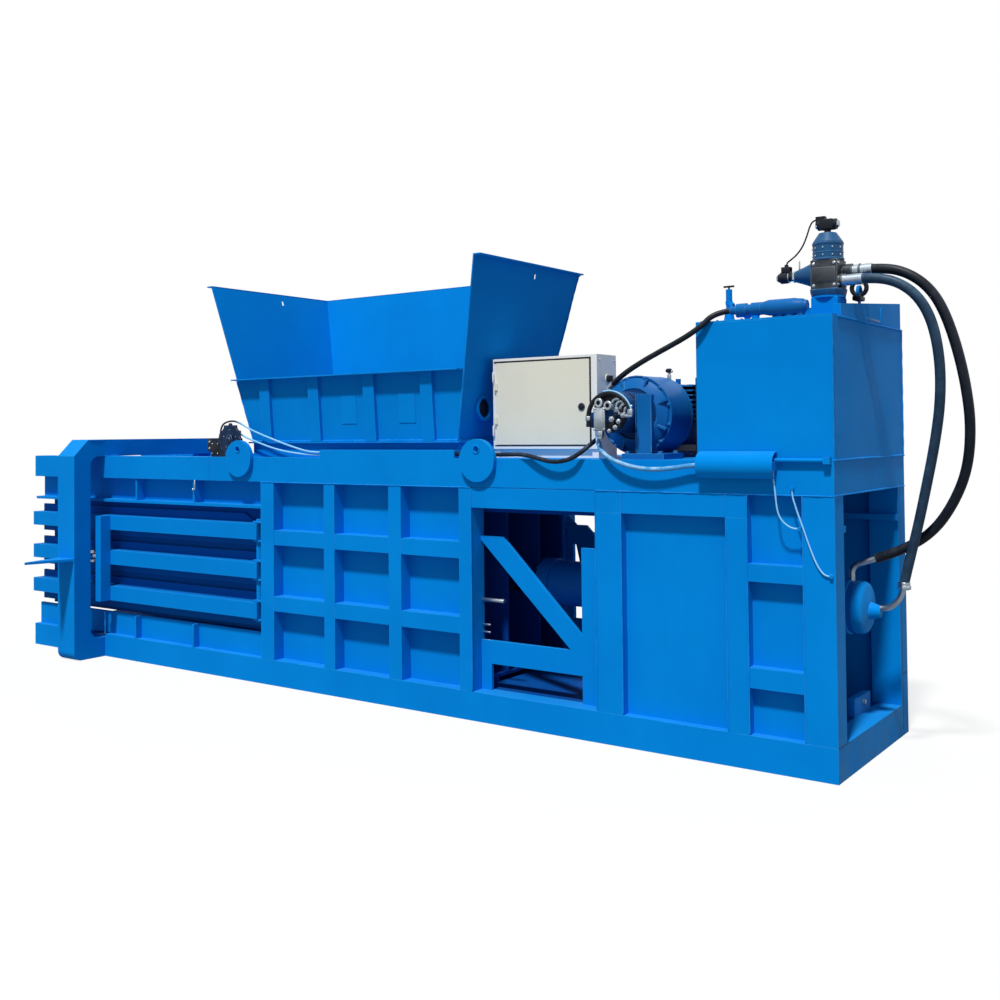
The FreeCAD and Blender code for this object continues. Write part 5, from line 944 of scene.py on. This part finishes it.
@dataclass
class CoolerTrim(Assembly):
    """The rails, fins, end tanks, fan guard and plugs of the oil cooler."""

    low: Point = (2.25, -0.05, 1.467)
    high: Point = (2.45, 0.35, 1.895)
    rail: float = 0.028
    proud: float = 0.004
    pitch: float = 0.016
    fin: float = 0.006
    tank_inset: float = 0.018
    guard_reach: float = 0.172
    guard_radii: Sequence[float] = (0.155, 0.115, 0.075)

    def build(self) -> None:
        """Makes the rails with the end tanks, the fins, the fan guard and the plugs."""
        (left, near, bottom), (right, far, top) = self.low, self.high
        middle, tanks = (left + right) / 2, (near + self.tank_inset, far - self.tank_inset)
        inner_near, inner_far, proud = near + self.rail, far - self.rail, self.proud
        rails = self.start("CoolerFrame", "cooler_grey")
        for x in (left, right):
            for y in (near, inner_far):
                rails.block((x - proud, y, bottom), (x + proud, y + self.rail, top), 0.0015)
            for z in (bottom, top - self.rail):
                rails.block((x - proud, inner_near, z), (x + proud, inner_far, z + self.rail),
                            0.0015)
        for y in tanks:
            rails.rod(Z, (middle, y, bottom + 0.02), top - bottom - 0.04, 0.045, 32, 0.006)
        fins = self.start("CoolerFins", "cooler_grey")
        for index in range(int((top - bottom - 2 * self.rail) / self.pitch)):
            z = bottom + self.rail + (index + 0.4) * self.pitch
            for x in (left, right):
                fins.block((x - 0.0025, inner_near, z), (x + 0.0025, inner_far, z + self.fin))
        guard = self.start("CoolerFanGuard", "dark_plastic")
        x, y, z = right + 0.012, (near + far) / 2, (bottom + top) / 2
        for radius in self.guard_radii:
            guard.hoop(X, (x, y, z), radius, 0.0035)
        guard.rod(X, (right, y, z), 0.016, 0.045, 32, 0.003)
        guard.rod(Y, (x, y - self.guard_reach, z), 2 * self.guard_reach, 0.0035, 12)
        guard.rod(Z, (x, y, z - self.guard_reach), 2 * self.guard_reach, 0.0035, 12)
        plugs = self.start("CoolerPlugs", "fitting_steel")
        for y in tanks:
            plugs.bolt(Z, (middle, y, top), 0.014)
            plugs.rod(Y, (middle, y, bottom + 0.09), math.copysign(0.052, y), 0.016, 24, 0.002)


@dataclass
class CabinetTrim(Assembly):
    """The dark strips painted as the door's shadow, the hinge caps, glands, screws and roses of
    the electric cabinet.
    """

    left: float = 1.093
    right: float = 1.732
    low: float = 1.539
    high: float = 2.011
    face: float = -0.303

    def build(self) -> None:
        """Makes the dark strips painted as the shadow round the door, the hinge caps, the roses
        and the glands.
        """
        left, front, low = self.left - 0.004, self.face - 0.001, self.low - 0.008
        right, back, high = self.right + 0.01, self.face + 0.01, self.high + 0.01
        # Painted shadow: thin dark strips round the door stand for the shadow in the gap round it.
        door_shadow = self.start("CabinetDoorShadow", "dark_plastic")
        door_shadow.block((self.right + 0.002, front, low), (right, back, high), 0.001)
        door_shadow.block((left, front, self.high + 0.002), (right, back, high), 0.001)
        door_shadow.block((left, self.face + 0.001, low), (right, back, self.low - 0.002), 0.001)
        hinges = self.start("CabinetHingeCaps", "cabinet_grey")
        for z in (1.62, 1.93):
            hinges.block((1.084, -0.3155, z - 0.03), (1.0925, -0.3045, z + 0.03), 0.002)
        lock = self.start("LockRose", "shaft_steel", "cabinet_door")
        lock.band(Y, (1.682, self.face, 1.747), 0.016, 0.022, -0.004, 0.001, 32)
        glands = self.start("CabinetGlands", "dark_plastic")
        for x in (1.3, 1.36, 1.42, 1.56, 1.62):
            glands.rod(Z, (x, -0.2, 1.515), -0.012, 0.016, 6, 0.002)
            glands.rod(Z, (x, -0.2, 1.503), -0.016, 0.012, 20, 0.003)
        knob = self.start("KnobRose", "cabinet_beige")
        knob.band(X, (1.78, -0.186, 1.901), 0.008, 0.026, 0.004, 0.001, 32)
        screws = self.start("CabinetScrews", "fitting_steel")
        for z, y in product((1.55, 2.005), (-0.27, -0.11)):
            screws.rod(X, (1.78, y, z), 0.003, 0.006, 16, 0.001)
            screws.rod(X, (1.08, y, z), -0.003, 0.006, 16, 0.001)


@dataclass
class ValveTrim(Assembly):
    """The bolts, plates, coils and sleeves of the control valve stack."""

    x: float = 3.055
    y: float = -0.25
    half: float = 0.065
    low: float = 2.282
    high: float = 2.425
    pilot_z: float = 2.362
    upper_port: Pair = (-0.222, 2.372)
    lower_port: Pair = (-0.275, 2.322)
    stud_turns: Sequence[float] = (-70.0, -35.0, 0.0, 35.0, 70.0, 140.0, 180.0, 220.0)

    def build(self) -> None:
        """Makes each group of small parts on the stack."""
        self._cup()
        self._head()
        self._pilot()
        self._ports()
        self._eye()

    def _cup(self) -> None:
        """The flared cup under the block."""
        x, y = self.x, self.y
        work = self.start("ValveCup", "valve_paint")
        work.turned(Z, (x, y, 2.243), ((0.0, 0.07), (0.0, 0.076), (0.012, 0.0815), (0.03, 0.086),
                                       (0.039, 0.087), (0.0392, 0.075), (0.0, 0.07)), 56)
        work.block((x - 0.068, y - 0.068, 2.276), (x + 0.068, y + 0.068, 2.286), 0.002)

    def _head(self) -> None:
        """The rims and bolts of the round valve head, and the block's plates and bolts."""
        x, y, near, far = self.x, self.y, self.y - self.half, self.y + self.half
        work = self.start("ValveHeadRims", "valve_paint")
        for z, radius, width in ((2.4252, 0.0765, 0.01), (2.5, 0.0745, 0.012),
                                 (2.46, 0.0735, 0.006)):
            work.band(Z, (x, y, z), 0.066, radius, width, 0.002, 56)
        bolts = self.start("ValveHeadBolts", "fitting_steel")
        bolts.bolt_ring(Z, (x, y, 2.5155), 0.058, 6, 0.008, 1.0, 30.0)
        for z, turn in product((2.448, 2.484), self.stud_turns):
            angle = math.radians(turn)
            bolts.rod(Z, (x + 0.0725 * math.sin(angle), y - 0.0725 * math.cos(angle), z - 0.004),
                      0.008, 0.0035, 10, 0.001)
        for dz, dx in product((0.02, 0.125), (-0.05, 0.05)):
            z = self.low + dz
            bolts.bolt(Y, (x + dx, near, z), 0.007, -1.0)
            bolts.bolt(Y, (x + dx, far, z), 0.007)
            bolts.bolt(X, (x + self.half, y + dx * 1.04, z), 0.007)
        plates = self.start("ValveBlockPlates", "valve_steel")
        for front, back in ((near - 0.006, near + 0.001), (far - 0.001, far + 0.006)):
            plates.block((x - 0.058, front, self.low + 0.034),
                         (x + 0.058, back, self.high - 0.036), 0.003)

    def _pilot(self) -> None:
        """The cone's casing, the coils, nuts and plugs of the two pilot valves."""
        x, y, z, side = self.x, self.y, self.pilot_z, self.x - self.half
        cone = self.start("PilotCasing", "valve_paint")
        cone.turned(X, (side, y, z), ((0.0, 0.056), (0.0, 0.0605), (-0.02, 0.056),
                                      (-0.052, 0.043), (-0.094, 0.0285), (-0.096, 0.024),
                                      (0.0, 0.056)), 48)
        nuts = self.start("PilotNuts", "fitting_steel")
        nuts.rod(X, (side - 0.097, y, z), -0.012, 0.029, 6, 0.003)
        nuts.band(X, (side - 0.128, y, z), 0.018, 0.0265, -0.006, 0.002, 32)
        nuts.rod(X, (side - 0.184, y, z), -0.01, 0.016, 6, 0.002)
        nuts.rod(Z, (2.913, y - 0.004, 2.388), 0.05, 0.004, 12, 0.001)
        for out in (1, -1):
            nuts.rod(X, (x + 0.0455 * out, y, 2.602), 0.012 * out, 0.017, 6, 0.002)
        coil = self.start("PilotCoils", "dark_plastic")
        coil.band(X, (side - 0.136, y, z), 0.019, 0.029, -0.04, 0.004, 32)
        coil.block((2.826, y - 0.02, 2.386), (2.868, y + 0.02, 2.413), 0.004)
        coil.rod(Z, (2.845, y, 2.41), 0.016, 0.01, 16, 0.002)
        coil.block((x - 0.034, y - 0.029, 2.578), (x + 0.034, y + 0.029, 2.627), 0.005)

    def _ports(self) -> None:
        """The dark sleeves where the two large hoses leave the block, and their crimps."""
        side, upper, lower = self.x + self.half + 0.002, self.upper_port, self.lower_port
        sleeve = self.start("PortSleeves", "valve_steel")
        sleeve.band(X, (side, *upper), 0.024, 0.034, 0.046, 0.003, 40)
        sleeve.band(X, (side, *lower), 0.024, 0.034, 0.016, 0.003, 40)
        sleeve.band(X, (3.196, *upper), 0.022, 0.0315, 0.01, 0.003, 40)
        crimps = self.start("HoseCrimps", "fitting_steel")
        crimps.band(X, (3.224, *upper), 0.0235, 0.0285, 0.036, 0.002, 40)
        crimps.band(X, (3.209, *lower), 0.0235, 0.0275, 0.02, 0.002, 40)

    def _eye(self) -> None:
        """The dark shackle through the cover's lifting eye, with its foot."""
        work = self.start("CoverShackle", "dark_plastic")
        work.hoop(Y, (3.152, -0.09, 2.302), 0.036, 0.0115)
        work.block((3.128, -0.13, 2.238), (3.169, -0.05, 2.262), 0.006)
        work.rod(Z, (3.152, -0.09, 2.255), 0.022, 0.018, 24, 0.002, 0.012)


@dataclass
class TankTrim(Assembly):
    """The welds, ledges, lid screws, stop valve casting and return pipe of the oil tank."""

    left: float = 2.49
    right: float = 3.17
    half: float = 0.545
    foot: float = 1.465
    top: float = 2.134
    lid: float = 2.142
    screw_y: float = 0.53
    valve_y: float = -0.3
    pipe_y: float = -0.51

    def build(self) -> None:
        """Makes the welds, the cover's ledges and the fittings on the lid."""
        left, right, half, foot = self.left, self.right, self.half, self.foot
        work = self.start("TankWelds", "tank_blue")
        for y in (-half - 0.002, half + 0.002):
            work.bead((left, y, foot + 0.003), (right, y, foot + 0.003), 0.005)
        for x in (left - 0.002, right + 0.002):
            work.bead((x, -half, foot + 0.003), (x, half, foot + 0.003), 0.005)
        for y in (-half - 0.001, half + 0.001):
            work.bead((right + 0.001, y, foot), (right + 0.001, y, self.top), 0.003)
        ledge = self.start("CoverLedges", "tank_blue")
        ledge.block((3.166, -0.47, 2.13), (3.178, 0.545, 2.136), 0.001)
        ledge.block((3.166, 0.18, 2.142), (3.173, 0.2, 2.226), 0.002)
        # Painted shade: a darker blue strip on the cover's end stands for the shade of a recessed
        # panel.
        shade_strip = self.start("CoverShadeStrip", "motor_blue")
        shade_strip.block((3.167, -0.04, 2.146), (3.173, 0.17, 2.16), 0.002)
        screws = self.start("TankLidScrews", "tank_blue")
        for index, y in product(range(6), (-self.screw_y, self.screw_y)):
            screws.bolt(Z, (2.515 + 0.042 * index, y, self.lid), 0.006)
        for index in range(7):
            screws.bolt(Z, (2.505, -0.46 + 0.153 * index, self.lid), 0.006)
        self._stop_valve()
        self._pipe()

    def _stop_valve(self) -> None:
        """The curved casting under the T handle."""
        y = self.valve_y
        work = self.start("StopValveCasting", "tank_blue")
        work.bend((2.585, y, 2.16), UP, (2.66, y, 2.16), Y, -42.0, 0.022, 14, 20)
        work.bend((2.56, y, 2.262), (0, 0, -1), (2.59, y, 2.262), Y, -75.0, 0.019, 12, 20)
        work.rod(Z, (2.56, y, 2.246), 0.03, 0.019, 24, 0.002, 0.013)
        work.rod(X, (2.6, y, 2.196), 0.12, 0.02, 24, 0.003)
        work.rod(X, (2.64, y, 2.196), 0.034, 0.028, 6, 0.004)
        work.rod(Z, (2.7, y, 2.142), 0.06, 0.02, 24, 0.003)

    def _pipe(self) -> None:
        """The clamps, saddles and swept neck of the return pipe, and its hose's crimp."""
        y = self.pipe_y
        work = self.start("ReturnPipeClamps", "motor_blue")
        for x in (2.735, 2.848):
            work.band(X, (x, y, 2.19), 0.0235, 0.029, 0.01, 0.002, 36)
        work.turned(X, (2.866, y, 2.188), (
            (0.0, 0.024), (0.006, 0.0385), (0.05, 0.04), (0.11, 0.0395), (0.16, 0.034),
            (0.178, 0.02), (0.0, 0.02)), 40)
        for x in (2.9, 3.0):
            work.block((x, -0.53, 2.14), (x + 0.025, -0.49, 2.16), 0.002)
        crimp = self.start("ReturnHoseCrimp", "motor_blue")
        crimp.band(X, (2.66, y, 2.19), 0.0135, 0.0205, 0.038, 0.003, 32)


@dataclass
class HopperTrim(Assembly):
    """The welds, flange bolts, pads and painted port-bore shade of the feed hopper."""

    left: float = -0.76
    right: float = 0.955
    near: float = -0.475
    far: float = 0.33
    foot: float = 1.568
    flange: float = 1.5645
    corners: Sequence[Tuple[Point, Point]] = (
        ((0.957, -0.477, 1.572), (1.026, -0.507, 1.97)),
        ((-0.762, -0.477, 1.572), (-0.887, -0.507, 1.97)),
        ((0.957, 0.334, 1.572), (1.142, 0.564, 2.612)),
        ((-0.762, 0.334, 1.572), (-1.087, 0.564, 2.612)))
    slope: float = 0.08 / 1.056
    pad: Point = (0.126, 0.006, 0.17)

    def build(self) -> None:
        """Makes the weld beads, the dark disc painted as the shade in the port's bore, the
        flange's bolts and the pads.
        """
        left, right, near, far, foot = self.left, self.right, self.near, self.far, self.foot
        work = self.start("HopperWelds", "hopper_blue")
        for y in (near - 0.004, far + 0.004):
            work.bead((left, y, foot), (right, y, foot), 0.006)
        for x in (right + 0.004, left - 0.004):
            work.bead((x, near, foot), (x, far, foot), 0.006)
        for low, high in self.corners:
            work.bead(low, high, 0.005)
        # Painted shade: a dark disc inside the port ring stands for the shade in its bore.
        port = self.start("HopperPortBoreShade", "cooler_grey")
        port.rod(X, (0.984, -0.285, 1.754), 0.008, 0.057, 40, 0.001)
        bolts = self.start("HopperFlangeBolts", "hopper_blue")
        for index in range(12):
            bolts.bolt(Z, (-0.7 + 0.145 * index, -0.4885, self.flange), 0.0065)
        for index, x in product(range(5), (0.9675, -0.7725)):
            bolts.bolt(Z, (x, -0.4 + 0.165 * index, self.flange), 0.0065)
        pads = self.start("HopperPads", "frame_blue")
        for x in (0.115, 0.585):
            pads.slab(self.pad, Matrix.Rotation(math.atan(self.slope), 3, "X"),
                      (x, -0.4752 - (1.758 - 1.564) * self.slope, 1.758))


@dataclass
class CounterTrim(Assembly):
    """The hub cap, glands, plates and screws of the bale-length counter."""

    x: float = -0.915
    z: float = 1.58
    glands: Sequence[Pair] = ((-1.045, -0.515), (-1.0, -0.5))

    def build(self) -> None:
        """Makes the hub cap that turns with the wheel, and the fittings on the block."""
        x, z = self.x, self.z
        hub = self.start("CounterHubCap", "shaft_steel", "star_wheel")
        hub.rod(Y, (x, -0.545, z), -0.01, 0.034, 32, 0.003)
        hub.bolt(Y, (x, -0.554, z), 0.013, -1.0, 12.0)
        hub.bolt_ring(Y, (x, -0.546, z), 0.062, 5, 0.006, -1.0)
        work = self.start("CounterPlugs", "dark_plastic")
        work.block((-1.168, -0.522, 1.5), (-1.12, -0.484, 1.588), 0.005)
        work.block((-1.112, -0.5345, 1.48), (-1.04, -0.5295, 1.56), 0.003)
        for place in self.glands:
            work.rod(Z, (*place, 1.588), 0.014, 0.0125, 6, 0.002)
            work.rod(Z, (*place, 1.602), 0.018, 0.0095, 20, 0.002, 0.0075)
        bright = self.start("CounterScrews", "fitting_steel")
        for z, x in product((1.488, 1.552), (-1.104, -1.048)):
            bright.rod(Y, (x, -0.534, z), -0.004, 0.005, 16, 0.001)
        for z in (1.565, 1.522):
            bright.bolt(Y, (-1.144, -0.522, z), 0.008, -1.0)


@dataclass
class CylinderTrim(Assembly):
    """The domed cap, gland bolts and hose union of the main cylinder."""

    x: float = 3.095
    z: float = 0.725
    union: Pair = (3.3194, -0.0079)

    def build(self) -> None:
        """Makes the dome over the rear cap with its port boss, the bolts and the union."""
        dome = self.start("CylinderDome", "cylinder_blue", finish="frame_blue")
        dome.turned(X, (self.x, 0.0, self.z), (
            (-0.004, 0.0), (-0.004, 0.128), (0.03, 0.128), (0.042, 0.121), (0.05, 0.106),
            (0.053, 0.07), (0.056, 0.06), (0.06, 0.04), (0.06, 0.0)), 64)
        dome.turned(X, (self.x - 0.06, 0.0, self.z), (
            (0.0, 0.128), (0.004, 0.136), (0.026, 0.136), (0.03, 0.128), (0.0, 0.128)), 64)
        dome.rod(X, (self.x + 0.054, 0.0, 0.711), 0.055, 0.046, 40, 0.003, 0.028)
        bolts = self.start("GlandBolts", "fitting_steel")
        bolts.bolt_ring(X, (1.25, 0.0, self.z), 0.128, 12, 0.014, -1.0, 15.0)
        unions = self.start("CylinderUnions", "fitting_steel")
        unions.rod(Z, (*self.union, 0.85), -0.022, 0.033, 6, 0.003)
        unions.band(Z, (*self.union, 0.866), 0.0235, 0.0285, -0.018, 0.003, 36)


@dataclass
class FrameWelds(Assembly):
    """The welds, eye rims, seams, stand nut and cable hook of the skid and its frame."""

    near: float = -0.551
    end: float = 3.171
    posts: Sequence[float] = (1.099, 1.907, 2.06, 2.636, 2.745, 3.018)
    hook: Point = (-1.262, -0.554, 1.251)

    def build(self) -> None:
        """Makes the beads and eye rims on both sides, and the fittings of the ends."""
        near, end = self.near, self.end
        work = self.start("BeamWelds", "frame_blue")
        work.bead((-0.6, near, 1.303), (1.095, near, 1.303), 0.003)
        work.bead((1.91, near, 1.303), (3.165, near, 1.303), 0.003)
        for x in self.posts:
            work.bead((x, near, 0.17), (x, near, 1.3), 0.0035)
        for x in (-2.476, -2.274):
            work.bead((x, -0.68, 1.583), (x, -0.56, 1.583), 0.003)
        work.bead((-2.271, -0.552, 1.467), (-2.271, -0.44, 1.467), 0.005)
        work.bead((-2.272, -0.552, 0.162), (-2.272, -0.552, 0.32), 0.005)
        work.mirrored()
        rims = self.start("LugEyeRims", "frame_blue")
        for x in (-0.8, 1.16):
            rims.hoop(Y, (x, -0.581, 1.517), 0.021, 0.004)
        rims.mirrored()
        ends = self.start("EndLedges", "frame_blue")
        for z in (1.305, 1.465):
            ends.bead((end, -0.55, z), (end, 0.55, z), 0.004)
        ends.bead((3.06, 0.1, 0.148), (3.06, 0.43, 0.148), 0.005)
        ends.block((3.01, 0.05, 0.142), (3.05, 0.3, 0.25), 0.004)
        seams = self.start("EndSeams", "frame_blue", finish="cooler_grey")
        for (y, z), far in (((0.458, 0.03), (0.4615, 1.3)), ((0.4615, 0.32), (0.549, 0.324)),
                            ((-0.549, 0.16), (-0.4, 0.164))):
            seams.block((3.169, y, z), (3.1708, *far), 0.0005)
        nut = self.start("StandNut", "fitting_steel")
        nut.bolt(X, (3.05, 0.182, 0.215), 0.016)
        x, y, z = self.hook
        hook = self.start("CableHook", "fitting_steel")
        hook.rod(Z, (x, y, 1.306), -0.056, 0.006, 16, 0.002)
        hook.bend((x, y, z), (0, 0, -1), (x - 0.012, y, z), Y, 150.0, 0.006, 10, 12)


@dataclass
class WindowTrim(Assembly):
    """The gusset beside the far guard, and the bolts and pin at the window's left edge."""

    edge: float = 1.099
    near: float = -0.446
    gusset: Sequence[Pair] = (
        (1.095, 1.092), (1.216, 0.982), (1.325, 0.982), (1.325, 0.862), (1.225, 0.79),
        (1.19, 0.785), (1.163, 0.9), (1.141, 0.9), (1.141, 0.17), (1.095, 0.17))
    gusset_y: float = 0.462
    thickness: float = 0.01

    def build(self) -> None:
        """Makes the gusset, and the small steel parts."""
        work = self.start("FarGuardGusset", "frame_blue")
        face = work.mesh.faces.new([work.mesh.verts.new((x, self.gusset_y, z))
                                    for x, z in self.gusset])
        grown = bmesh.ops.extrude_face_region(work.mesh, geom=[face], use_keep_orig=True)["geom"]
        moved = [item for item in grown if isinstance(item, bmesh.types.BMVert)]
        bmesh.ops.translate(work.mesh, verts=moved, vec=(0.0, self.thickness, 0.0))
        steel = self.start("WindowBolts", "fitting_steel")
        for z in (0.524, 0.482, 0.436):
            steel.rod(X, (self.edge, self.near, z), 0.052, 0.006, 16, 0.001)
        steel.rod(X, (self.edge, self.near, 0.664), 0.15, 0.012, 20, 0.002)


ASSEMBLIES = (HopperTrim, CounterTrim, CabinetTrim, PumpEnd, BellRim, MotorCover, CoolerTrim,
              TankTrim, ValveTrim, CylinderTrim, WindowTrim, FrameWelds)


# ---- studio


@dataclass
class Studio:
    """The floor, the light and the camera."""

    floor_reach: float = 40.0
    floor_shown: float = 0.8
    camera_place: Point = (4.911, -5.594, 1.607)
    camera_angles: Point = (35.5532, 1.3666, -0.5478)
    lens: float = 40.435
    shift: float = -0.0938
    sunlight: Point = (-0.18, 1.0, -1.78)
    sun_strength: float = 3.6
    sun_spread: float = 5.0
    sun_colour: Colour = (1.0, 0.985, 0.96)
    sky_colour: Colour = (0.8, 0.88, 1.0)
    sky_strength: float = 0.33
    white: Colour = (1.0, 1.0, 1.0)

    def build(self) -> None:
        """Makes all of it."""
        self._floor()
        self._sky()
        self._sun()
        self._camera()

    def _floor(self) -> None:
        """A wide pale floor that looks white and keeps the soft shadow."""
        slab = Workpiece("StudioFloor")
        bmesh.ops.create_grid(slab.mesh, x_segments=2, y_segments=2, size=self.floor_reach)
        floor = slab.finished()
        floor.data.materials.append(bpy.data.materials.new("StudioFloor"))
        mix = Recipe(floor.data.materials[0])
        seen = mix.node("ShaderNodeLightPath", {}, {}, "Is Camera Ray")
        pale = mix.mix(mix.noise(0.7, 2.0), (0.8, 0.8, 0.8), (0.84, 0.84, 0.84))
        lit = mix.node("ShaderNodeBsdfDiffuse", {}, {"Color": pale})
        dim = mix.node("ShaderNodeBsdfDiffuse", {}, {"Color": (0.3, 0.31, 0.33)})
        glow = mix.node("ShaderNodeEmission", {}, {"Color": self.white, "Strength": 1.0})
        final = mix.blend(seen, dim, mix.blend(self.floor_shown, lit, glow))
        mix.node("ShaderNodeOutputMaterial", {}, {"Surface": final})

    def _sky(self) -> None:
        """An even sky that looks white to the camera and in reflections."""
        bpy.context.scene.world = bpy.data.worlds.new("StudioSky")
        mix = Recipe(bpy.context.scene.world)
        seen, glossy, through = (mix.node("ShaderNodeLightPath", {}, {}, f"Is {kind} Ray")
                                 for kind in ("Camera", "Glossy", "Transmission"))
        dim, white = (mix.node("ShaderNodeBackground", {}, {"Color": tint, "Strength": power})
                      for tint, power in ((self.sky_colour, self.sky_strength),
                                          (self.white, 1.0)))
        final = mix.blend(seen.either(glossy).either(through), dim, white)
        mix.node("ShaderNodeOutputWorld", {}, {"Surface": final})

    def _sun(self) -> None:
        """One broad lamp high on the operator's side."""
        lamp = bpy.data.lights.new("KeyLamp", "SUN")
        lamp.energy = self.sun_strength
        lamp.angle = math.radians(self.sun_spread)
        lamp.color = self.sun_colour
        holder = placed("KeyLamp", lamp)
        holder.rotation_mode = "QUATERNION"
        holder.rotation_quaternion = Vector(self.sunlight).to_track_quat("-Z", "Y")

    def _camera(self) -> None:
        """The camera, where the photograph was taken from."""
        yaw, pitch, roll = (math.radians(angle) for angle in self.camera_angles)
        turn = (Matrix.Rotation(yaw, 3, "Z") @ Matrix.Rotation(math.pi / 2 + pitch, 3, "X")
                @ Matrix.Rotation(roll, 3, "Z"))
        lens = bpy.data.cameras.new("PhotoCamera")
        lens.lens = self.lens
        lens.sensor_width = 36.0
        lens.shift_y = self.shift
        lens.clip_end = 200.0
        camera = placed("PhotoCamera", lens)
        camera.rotation_mode = "QUATERNION"
        camera.rotation_quaternion = turn.to_quaternion()
        camera.location = self.camera_place
        bpy.context.scene.camera = camera


def main() -> None:
    """Builds the studio and every piece, in order."""
    logging.basicConfig(level=logging.INFO, format="%(name)s: %(message)s")
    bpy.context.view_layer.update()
    bpy.context.scene.view_settings.view_transform = "Standard"
    Studio().build()
    shop = Paintshop()
    shop.dress_frame()
    for cord in CORDS:
        cord.build(shop)
    for assembly in ASSEMBLIES:
        assembly(shop).build()
        shop.deliver_started()


if __name__ == "__main__":
    main()
